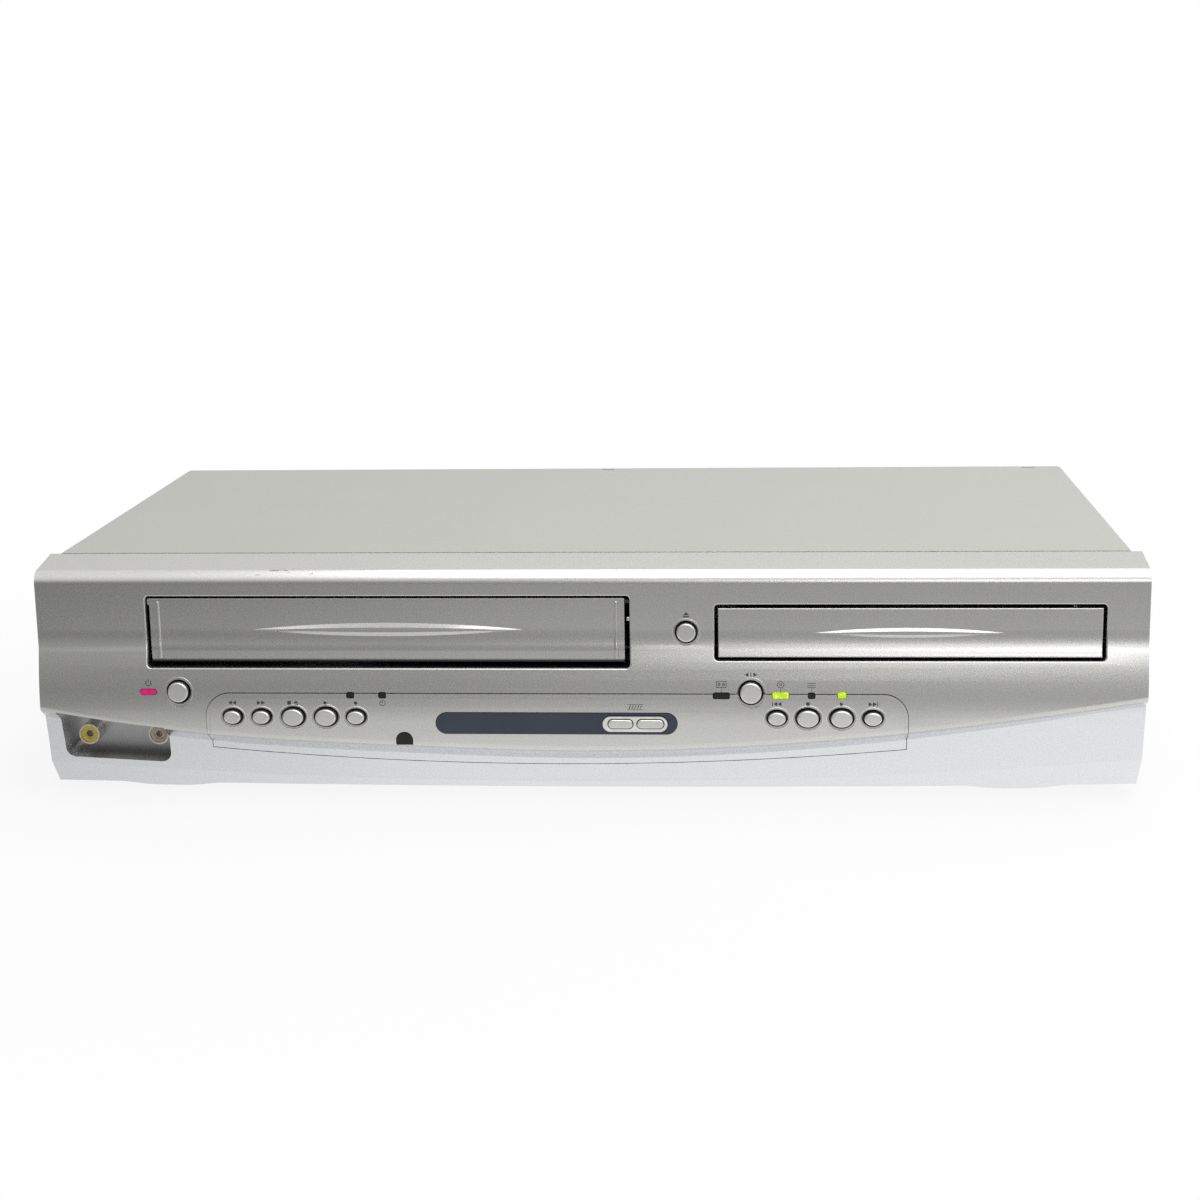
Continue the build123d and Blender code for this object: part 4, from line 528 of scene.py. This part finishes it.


# Where the holes turn black, as bare plastic and painted shade: x and height ranges and the depth it starts
# at, in mm
BEZEL_HOLES = (
    (-175, 19.5, 54.5, 85.5, 2.0),
    (50, 202.5, 57.5, 81.5, 2.0),
    (34, 46, 64, 75.5, 0.85),
    (-185, -152, 40.0, 52.0, 0.85),
    (58, 72, 45.7, 52, 0.85),
)
PANEL_HOLES = ((-150, 126, 31.5, 48.0, 0.85),)
FLAP_HOLES = ((-300, 300, -10, 200, 2.6),)
# the sides of the caps: bare plastic, and painted shade of the gap round each cap
CAP_SIDES = ((-300, 300, -10, 200, 0.7),)
FINISHES = {
    "bezel_silver": silver_paint(
        "bezel_silver", UPPER_SILVER, LOWER_SILVER,
        scuffs=True, zones=BEZEL_HOLES, shade=pocket_painted_shade, sweep=True
    ),
    "panel_silver": silver_paint("panel_silver", tone(UPPER_SILVER, 1.05), LOWER_SILVER, zones=PANEL_HOLES),
    "flap_silver": silver_paint("flap_silver", tone(UPPER_SILVER, 0.98), zones=FLAP_HOLES, sweep=True),
    "button_silver": silver_paint("button_silver", CAP_SILVER, gloss=0.30, zones=CAP_SIDES),
    "navy": moulded("navy", (0.030, 0.038, 0.062), 0.35),
    "bright_trim": plated("bright_trim"),
    "dark_window": smoked("dark_window"),
    "green_lens": light_pipe("green_lens", (0.44, 0.70, 0.0), 0.5, (0.80, 0.86, 0.08)),
    "pink_lens": light_pipe("pink_lens", (0.58, 0.0, 0.13), 0.42),
    "spring_steel": sheet_metal("spring_steel", (0.5, 0.5, 0.5)),
    "jack_yellow": plated("jack_yellow", (0.62, 0.58, 0.50), 0.25),
    "jack_beige": plated("jack_beige", (0.60, 0.57, 0.52), 0.25),
    "circuit_board": laminate("circuit_board"),
    "cover_grey": textured_paint("cover_grey", (0.50, 0.50, 0.47)),
    "zinc_steel": sheet_metal("zinc_steel", (0.62, 0.63, 0.64)),
    "rear_black": textured_paint("rear_black", (0.42, 0.42, 0.40)),
    "rubber_foot": rubber("rubber_foot"),
    "screw_steel": sheet_metal("screw_steel", (0.42, 0.42, 0.43), 0.3, (1, 1, 1)),
    "socket_metal": plated("socket_metal"),
    "gland_black": moulded("gland_black", (0.018, 0.018, 0.018), 0.5),
    "tray_grey": moulded("tray_grey", (0.055, 0.055, 0.058), 0.5),
    "frame_black": moulded("frame_black", (0.02, 0.02, 0.021), 0.5),
    "gear_white": moulded("gear_white", (0.72, 0.71, 0.66), 0.4),
    "motor_steel": sheet_metal("motor_steel", (0.55, 0.55, 0.55), 0.28),
    "turntable_rubber": rubber("turntable_rubber", (0.03, 0.03, 0.03)),
    "drum_aluminium": sheet_metal("drum_aluminium", (0.80, 0.80, 0.81), 0.2, (4, 4, 160)),
    "roller_rubber": rubber("roller_rubber"),
}
INK = wet_print("legend_ink", (0.030, 0.032, 0.042))
SPLIT_DEGREES = 28
FLAT_PLATES = {"vcr_flap": 13, "tray_door": 9}     # their raised swooshes meet them at small angles


def dress_nodes():
    """Gives every CAD node its finish, with smooth curves and crisp edges."""
    for part in frame["record"]["subparts"]:
        node = frame["nodes"][part["node"]]
        node.data.materials.clear()
        node.data.materials.append(FINISHES[part["material_slot"]])
        node.data.polygons.foreach_set("use_smooth", [True] * len(node.data.polygons))
        weld = node.modifiers.new("weld", "WELD")
        weld.merge_threshold = 1e-6
        split = node.modifiers.new("crisp", "EDGE_SPLIT")
        split.split_angle = radians(FLAT_PLATES.get(part["node"], SPLIT_DEGREES))
        even = node.modifiers.new("even", "WEIGHTED_NORMAL")
        even.weight = 100


# ---- how a small piece is made ----
SIGN_THICK, SIGN_SINK = 0.02, 0.02     # how far a printed sign stands out of its face, and how far it goes in


def new_piece(name, mesh, finish, body="player"):
    """Turns a bmesh into a piece that rides on a body."""
    bmesh.ops.remove_doubles(mesh, verts=mesh.verts, dist=1e-7)
    bmesh.ops.recalc_face_normals(mesh, faces=mesh.faces)
    data = bpy.data.meshes.new(name)
    mesh.to_mesh(data)
    mesh.free()
    piece = bpy.data.objects.new(name, data)
    bpy.context.scene.collection.objects.link(piece)
    data.materials.append(finish)
    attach(piece, body)
    return piece


def front_at(z):
    """The front of the bezel and of the control panel at a height, in mm."""
    if z >= KINK_Z:
        return FACE_Y
    return BELLY_Y + BELLY_R - sqrt(BELLY_R**2 - (min(z, KINK_Z) - BELLY_Z) ** 2)


def flat_shape(mesh, points, thick, front=front_at, sink=SIGN_SINK):
    """A flat outline in (x, z) mm laid on a front face, a few hundredths thick."""
    corners = [mesh.verts.new((x * MM, (front(z) + sink) * MM, z * MM)) for x, z in points]
    face = mesh.faces.new(corners)
    grown = bmesh.ops.extrude_face_region(mesh, geom=[face])
    raised = [v for v in grown["geom"] if isinstance(v, bmesh.types.BMVert)]
    bmesh.ops.translate(mesh, verts=raised, vec=(0, -(thick + sink) * MM, 0))


def ring_shape(mesh, x, z, outer, inner, thick, arc=(0.0, 1.0), steps=28):
    """A flat ring laid on the front, or the arc between two shares of a turn that start at its top."""
    first, last = arc
    for i in range(steps):
        a, b = [2 * pi * (first + (last - first) * (i + k) / steps) for k in (0, 1)]
        quad = [
            (x + outer * sin(a), z + outer * cos(a)),
            (x + outer * sin(b), z + outer * cos(b)),
            (x + inner * sin(b), z + inner * cos(b)),
            (x + inner * sin(a), z + inner * cos(a)),
        ]
        flat_shape(mesh, quad, thick)


def bar(x0, x1, z0, z1):
    return [(x0, z0), (x1, z0), (x1, z1), (x0, z1)]


# ---- the plain signs that stand where a player has its legends ----
def arrow_right(x, z, s):
    return [[(x - 0.45 * s, z - 0.5 * s), (x + 0.45 * s, z), (x - 0.45 * s, z + 0.5 * s)]]


def arrow_left(x, z, s):
    return [[(x + 0.45 * s, z - 0.5 * s), (x - 0.45 * s, z), (x + 0.45 * s, z + 0.5 * s)]]


def two_left(x, z, s):
    return arrow_left(x - 0.48 * s, z, s) + arrow_left(x + 0.48 * s, z, s)


def two_right(x, z, s):
    return arrow_right(x - 0.48 * s, z, s) + arrow_right(x + 0.48 * s, z, s)


def skip_left(x, z, s):
    return two_left(x + 0.1 * s, z, s) + [bar(x - 1.12 * s, x - 0.94 * s, z - 0.5 * s, z + 0.5 * s)]


def skip_right(x, z, s):
    return two_right(x - 0.1 * s, z, s) + [bar(x + 0.94 * s, x + 1.12 * s, z - 0.5 * s, z + 0.5 * s)]


def square(x, z, s):
    return [bar(x - 0.42 * s, x + 0.42 * s, z - 0.42 * s, z + 0.42 * s)]


def eject(x, z, s):
    roof = [(x - 0.55 * s, z - 0.05 * s), (x + 0.55 * s, z - 0.05 * s), (x, z + 0.5 * s)]
    return [roof, bar(x - 0.55 * s, x + 0.55 * s, z - 0.45 * s, z - 0.22 * s)]


def stop_and_eject(x, z, s):
    return square(x - 0.85 * s, z, s) + eject(x + 0.75 * s, z, s)


def minus(x, z, s):
    return [bar(x - 0.5 * s, x + 0.5 * s, z - 0.12 * s, z + 0.12 * s)]


def plus(x, z, s):
    return minus(x, z, s) + [bar(x - 0.12 * s, x + 0.12 * s, z + 0.12 * s, z + 0.5 * s),
                             bar(x - 0.12 * s, x + 0.12 * s, z - 0.5 * s, z - 0.12 * s)]


def dot(x, z, s):
    return [[(x + 0.4 * s * sin(2 * pi * i / 16), z + 0.4 * s * cos(2 * pi * i / 16)) for i in range(16)]]


ROW_SIGN_Z, SIGN_SIZE = 41.8, 1.7
CAP_SIGN_SIZE, CAP_SIGN_THICK, CAP_SIGN_SINK = 1.5, 0.07, 0.1
# The sign printed above each button of the row
ROW_SIGNS = {
    "rewind_button": two_left,
    "fast_forward_button": two_right,
    "stop_eject_button": stop_and_eject,
    "play_button": arrow_right,
    "record_button": dot,
    "skip_back_button": skip_left,
    "dvd_stop_button": square,
    "dvd_play_button": arrow_right,
    "skip_forward_button": skip_right,
}
KEY_SIGNS = {"tracking_down_key": minus, "tracking_up_key": plus, "open_close_button": eject}


def middle_of(node):
    low, high = node_box(node)
    return (low[0] + high[0]) / 2, (low[2] + high[2]) / 2


def make_row_signs():
    """The transport signs printed above the row of buttons."""
    for button, sign in ROW_SIGNS.items():
        mesh = bmesh.new()
        x, _ = middle_of(button)
        for outline in sign(x, ROW_SIGN_Z, SIGN_SIZE):
            flat_shape(mesh, outline, SIGN_THICK)
        new_piece("sign_" + button, mesh, INK)


def make_power_sign():
    mesh = bmesh.new()
    x, z = POWER_SIGN
    ring_shape(mesh, x, z, 1.25, 0.95, SIGN_THICK, arc=(0.12, 0.88))
    flat_shape(mesh, bar(x - 0.15, x + 0.15, z + 0.3, z + 1.6), SIGN_THICK)
    new_piece("sign_power", mesh, INK)


def make_tray_sign():
    mesh = bmesh.new()
    x, _ = middle_of("open_close_button")
    for outline in eject(x, TRAY_SIGN_Z, 2.2):
        flat_shape(mesh, outline, SIGN_THICK)
    new_piece("sign_tray", mesh, INK)


def make_source_signs():
    """A cassette outline and a disc over the two source windows, each with a fine line down to its window."""
    mesh = bmesh.new()
    x, z = TAPE_SIGN
    for edge in (bar(x - 2.0, x + 2.0, z + 1.0, z + 1.25), bar(x - 2.0, x + 2.0, z - 1.25, z - 1.0),
                 bar(x - 2.0, x - 1.75, z - 1.0, z + 1.0), bar(x + 1.75, x + 2.0, z - 1.0, z + 1.0)):
        flat_shape(mesh, edge, SIGN_THICK)
    for side in (-1, 1):
        ring_shape(mesh, x + side * 0.85, z, 0.55, 0.25, SIGN_THICK, steps=16)
    flat_shape(mesh, bar(x - 0.08, x + 0.08, WINDOW_TOP_Z, z - 1.6), SIGN_THICK)
    new_piece("sign_tape", mesh, INK)
    mesh = bmesh.new()
    x, z = DISC_SIGN
    ring_shape(mesh, x, z, 1.35, 1.12, SIGN_THICK)
    ring_shape(mesh, x, z, 0.5, 0.22, SIGN_THICK, steps=16)
    flat_shape(mesh, bar(x - 0.08, x + 0.08, WINDOW_TOP_Z, z - 1.6), SIGN_THICK)
    new_piece("sign_disc", mesh, INK)


def make_clock_sign():
    mesh = bmesh.new()
    x, z = CLOCK_SIGN
    ring_shape(mesh, x, z, 1.15, 0.92, SIGN_THICK)
    flat_shape(mesh, bar(x - 0.1, x + 0.1, z, z + 0.75), SIGN_THICK)
    flat_shape(mesh, bar(x - 0.65, x - 0.1, z, z + 0.2), SIGN_THICK)
    new_piece("sign_clock", mesh, INK)


def make_output_sign():
    """Two arrows facing away from a bar: the button that chooses which deck is shown."""
    mesh = bmesh.new()
    x, _ = middle_of("output_button")
    z = OUTPUT_SIGN_Z
    for outline in arrow_left(x - 1.7, z, 1.6) + arrow_right(x + 1.7, z, 1.6):
        flat_shape(mesh, outline, SIGN_THICK)
    flat_shape(mesh, bar(x - 0.16, x + 0.16, z - 0.9, z + 0.9), SIGN_THICK)
    new_piece("sign_output", mesh, INK)


def make_progress_sign():
    """A fine line down to the small window between the green lenses, under two ruled lines."""
    mesh = bmesh.new()
    x, z = SCAN_SIGN
    for step in (0.0, 0.8, 1.6):
        flat_shape(mesh, bar(x - 1.6, x + 1.6, z + step, z + step + 0.22), SIGN_THICK)
    flat_shape(mesh, bar(x - 0.08, x + 0.08, WINDOW_TOP_Z, z - 0.2), SIGN_THICK)
    new_piece("sign_scan", mesh, INK)


def make_tracking_sign():
    """Slanting bars between two lines, above the pair of tracking keys."""
    mesh = bmesh.new()
    x, z = TRACKING_SIGN
    for i in range(5):
        x0 = x - 2.6 + 1.1 * i
        slanted = [(x0, z - 0.7), (x0 + 0.3, z - 0.7), (x0 + 0.9, z + 0.7), (x0 + 0.6, z + 0.7)]
        flat_shape(mesh, slanted, SIGN_THICK)
    flat_shape(mesh, bar(x - 3.2, x + 3.2, z + 0.95, z + 1.12), SIGN_THICK)
    flat_shape(mesh, bar(x - 3.2, x + 3.2, z - 1.12, z - 0.95), SIGN_THICK)
    new_piece("sign_tracking", mesh, INK)


def make_cap_signs():
    """Shallow raised signs moulded into the caps."""
    for button, sign in {**ROW_SIGNS, **KEY_SIGNS}.items():
        mesh = bmesh.new()
        low, _ = node_box(button)
        x, z = middle_of(button)
        z = KEY_Z if button.startswith("tracking") else z
        for outline in sign(x, z, CAP_SIGN_SIZE):
            flat_shape(mesh, outline, CAP_SIGN_THICK, lambda height: low[1], CAP_SIGN_SINK)
        new_piece("cap_" + button, mesh, FINISHES["button_silver"], button)


# ---- small fittings ----
def lathe_y(mesh, x, z, profile, steps=48):
    """Spins a closed outline of (radius, y) in mm about an axis that runs front to back."""
    corners = [mesh.verts.new(((x + r) * MM, y * MM, z * MM)) for r, y in profile]
    edges = [mesh.edges.new((corners[i - 1], corners[i])) for i in range(len(corners))]
    bmesh.ops.spin(
        mesh, geom=corners + edges, cent=(x * MM, 0, z * MM), axis=(0, 1, 0), angle=2 * pi,
        steps=steps, use_merge=True
    )


def make_insulators():
    """The coloured ring inside each front socket, with a chamfered mouth round its bore."""
    for node, finish in (("front_video_jack", YELLOW_RING), ("front_audio_jack", BEIGE_RING)):
        mesh = bmesh.new()
        front = node_box(node)[0][1]
        profile = ((1.75, 1.0), (1.75, 0.7), (2.15, 0.3), (3.45, 0.3), (3.45, 1.0))
        profile = [(radius, front + back) for radius, back in profile]
        lathe_y(mesh, JACK_X[node], JACK_Z, profile)
        new_piece("ring_" + node, mesh, finish)


def make_rear_rings():
    """Coloured rings in the rear sockets, in the usual colours for picture and sound."""
    back = node_box("rear_sockets")[1][1]
    for (x, z), finish in REAR_RINGS.items():
        mesh = bmesh.new()
        profile = [(2.45, back - 0.75), (2.45, back - 0.1), (3.35, back - 0.1), (3.35, back - 0.75)]
        lathe_y(mesh, x, z, profile, 32)
        new_piece(f"rear_ring_{x:+d}_{z}".replace("+", "r").replace("-", "l"), mesh, finish)


def make_latch():
    """The bright catch in the gap at the right of the flap."""
    mesh = bmesh.new()
    bmesh.ops.create_cube(mesh, size=1)
    bmesh.ops.scale(mesh, vec=Vector(LATCH_SIZE) * MM, verts=mesh.verts)
    place = Vector((LATCH_X, FACE_Y + LATCH_BACK, LATCH_Z)) * MM
    bmesh.ops.translate(mesh, vec=place, verts=mesh.verts)
    bmesh.ops.bevel(
        mesh, geom=mesh.edges[:], offset=0.25 * MM, offset_type="OFFSET", segments=3, profile=0.5,
        affect="EDGES", material=-1
    )
    new_piece("flap_latch", mesh, FINISHES["bright_trim"])


def make_button_rims():
    """The thin raised rim round the hole of each button, in a paler silver that paints its highlight."""
    for button, (wide, high) in HOLES.items():
        mesh = bmesh.new()
        x, z = middle_of(button)
        radius = wide / 2 + HOLE_OUT
        profile = [(radius, 0.1), (radius + 0.06, -0.13), (radius + 0.3, -0.13), (radius + 0.42, 0.1)]
        lathe_y(mesh, 0, 0, profile)
        bmesh.ops.scale(mesh, vec=(1, 1, (high / 2 + HOLE_OUT) / radius), verts=mesh.verts)
        slope = asin((z - BELLY_Z) / BELLY_R) if z < KINK_Z else 0.0
        bmesh.ops.rotate(mesh, verts=mesh.verts, matrix=Matrix.Rotation(-slope, 3, "X"))
        bmesh.ops.translate(mesh, vec=(x * MM, front_at(z) * MM, z * MM), verts=mesh.verts)
        new_piece("rim_" + button, mesh, RIM_PAINTED_HIGHLIGHT)


def make_notch_shade_strips():
    """A dark strip under each of the two notches in the cover's top: painted shade that makes the notches
    read dark.
    """
    high = node_box("top_cover")[1]
    for x in NOTCH_X:
        mesh = bmesh.new()
        bmesh.ops.create_cube(mesh, size=1)
        bmesh.ops.scale(mesh, vec=Vector(SHADE_STRIP_SIZE) * MM, verts=mesh.verts)
        place = Vector((x, high[1] - NOTCH_IN, high[2] - SHADE_STRIP_DOWN)) * MM
        bmesh.ops.translate(mesh, vec=place, verts=mesh.verts)
        new_piece(f"notch_shade_strip_{int(x > 0)}", mesh, FINISHES["gland_black"])


LATCH_X, LATCH_BACK, LATCH_Z = 17.45, 2.3, 74.7
LATCH_SIZE = (1.3, 2.4, 1.5)
NOTCH_X, NOTCH_IN = (-4.4, 198.0), 3.6
# size and drop of the dark strips: painted shade under the notches
SHADE_STRIP_SIZE, SHADE_STRIP_DOWN = (8, 3.4, 0.2), 1.12
SMALL, BIG = (6.8, 5.2), (8.3, 6.7)
HOLES = {
    "power_button": (8.1, 8.1),
    "output_button": (8.3, 8.3),
    "open_close_button": (7.4, 7.4),
    "rewind_button": SMALL,
    "fast_forward_button": SMALL,
    "stop_eject_button": BIG,
    "play_button": BIG,
    "record_button": SMALL,
    "skip_back_button": SMALL,
    "dvd_stop_button": BIG,
    "dvd_play_button": BIG,
    "skip_forward_button": SMALL,
}
HOLE_OUT = 1.5                         # how far a hole's mouth stands outside its cap
# a paler silver than the bezel: painted highlight on the button rims
RIM_PAINTED_HIGHLIGHT = silver_paint("rim_silver_painted_highlight", (0.80, 0.795, 0.78), gloss=0.22)
YELLOW_RING = moulded("socket_yellow", (0.62, 0.47, 0.05), 0.35, 900)
BEIGE_RING = moulded("socket_beige", (0.38, 0.33, 0.25), 0.35, 900)
WHITE_RING = moulded("socket_white", (0.75, 0.74, 0.70), 0.35, 900)
RED_RING = moulded("socket_red", (0.55, 0.02, 0.02), 0.35, 900)
GREEN_RING = moulded("socket_green", (0.02, 0.30, 0.06), 0.35, 900)
BLUE_RING = moulded("socket_blue", (0.02, 0.06, 0.42), 0.35, 900)
ORANGE_RING = moulded("socket_orange", (0.70, 0.20, 0.02), 0.35, 900)
REAR_RINGS = {
    (-60, 30): YELLOW_RING,
    (-60, 48): YELLOW_RING,
    (-42, 30): WHITE_RING,
    (-42, 48): WHITE_RING,
    (-24, 30): RED_RING,
    (-24, 48): RED_RING,
    (20, 48): GREEN_RING,
    (38, 48): BLUE_RING,
    (56, 48): RED_RING,
    (20, 30): WHITE_RING,
    (38, 30): RED_RING,
    (56, 30): ORANGE_RING,
}


make_camera()
make_stage()
dress_nodes()
make_row_signs()
make_power_sign()
make_tray_sign()
make_source_signs()
make_clock_sign()
make_output_sign()
make_progress_sign()
make_tracking_sign()
make_cap_signs()
make_insulators()
make_rear_rings()
make_latch()
make_button_rims()
make_notch_shade_strips()
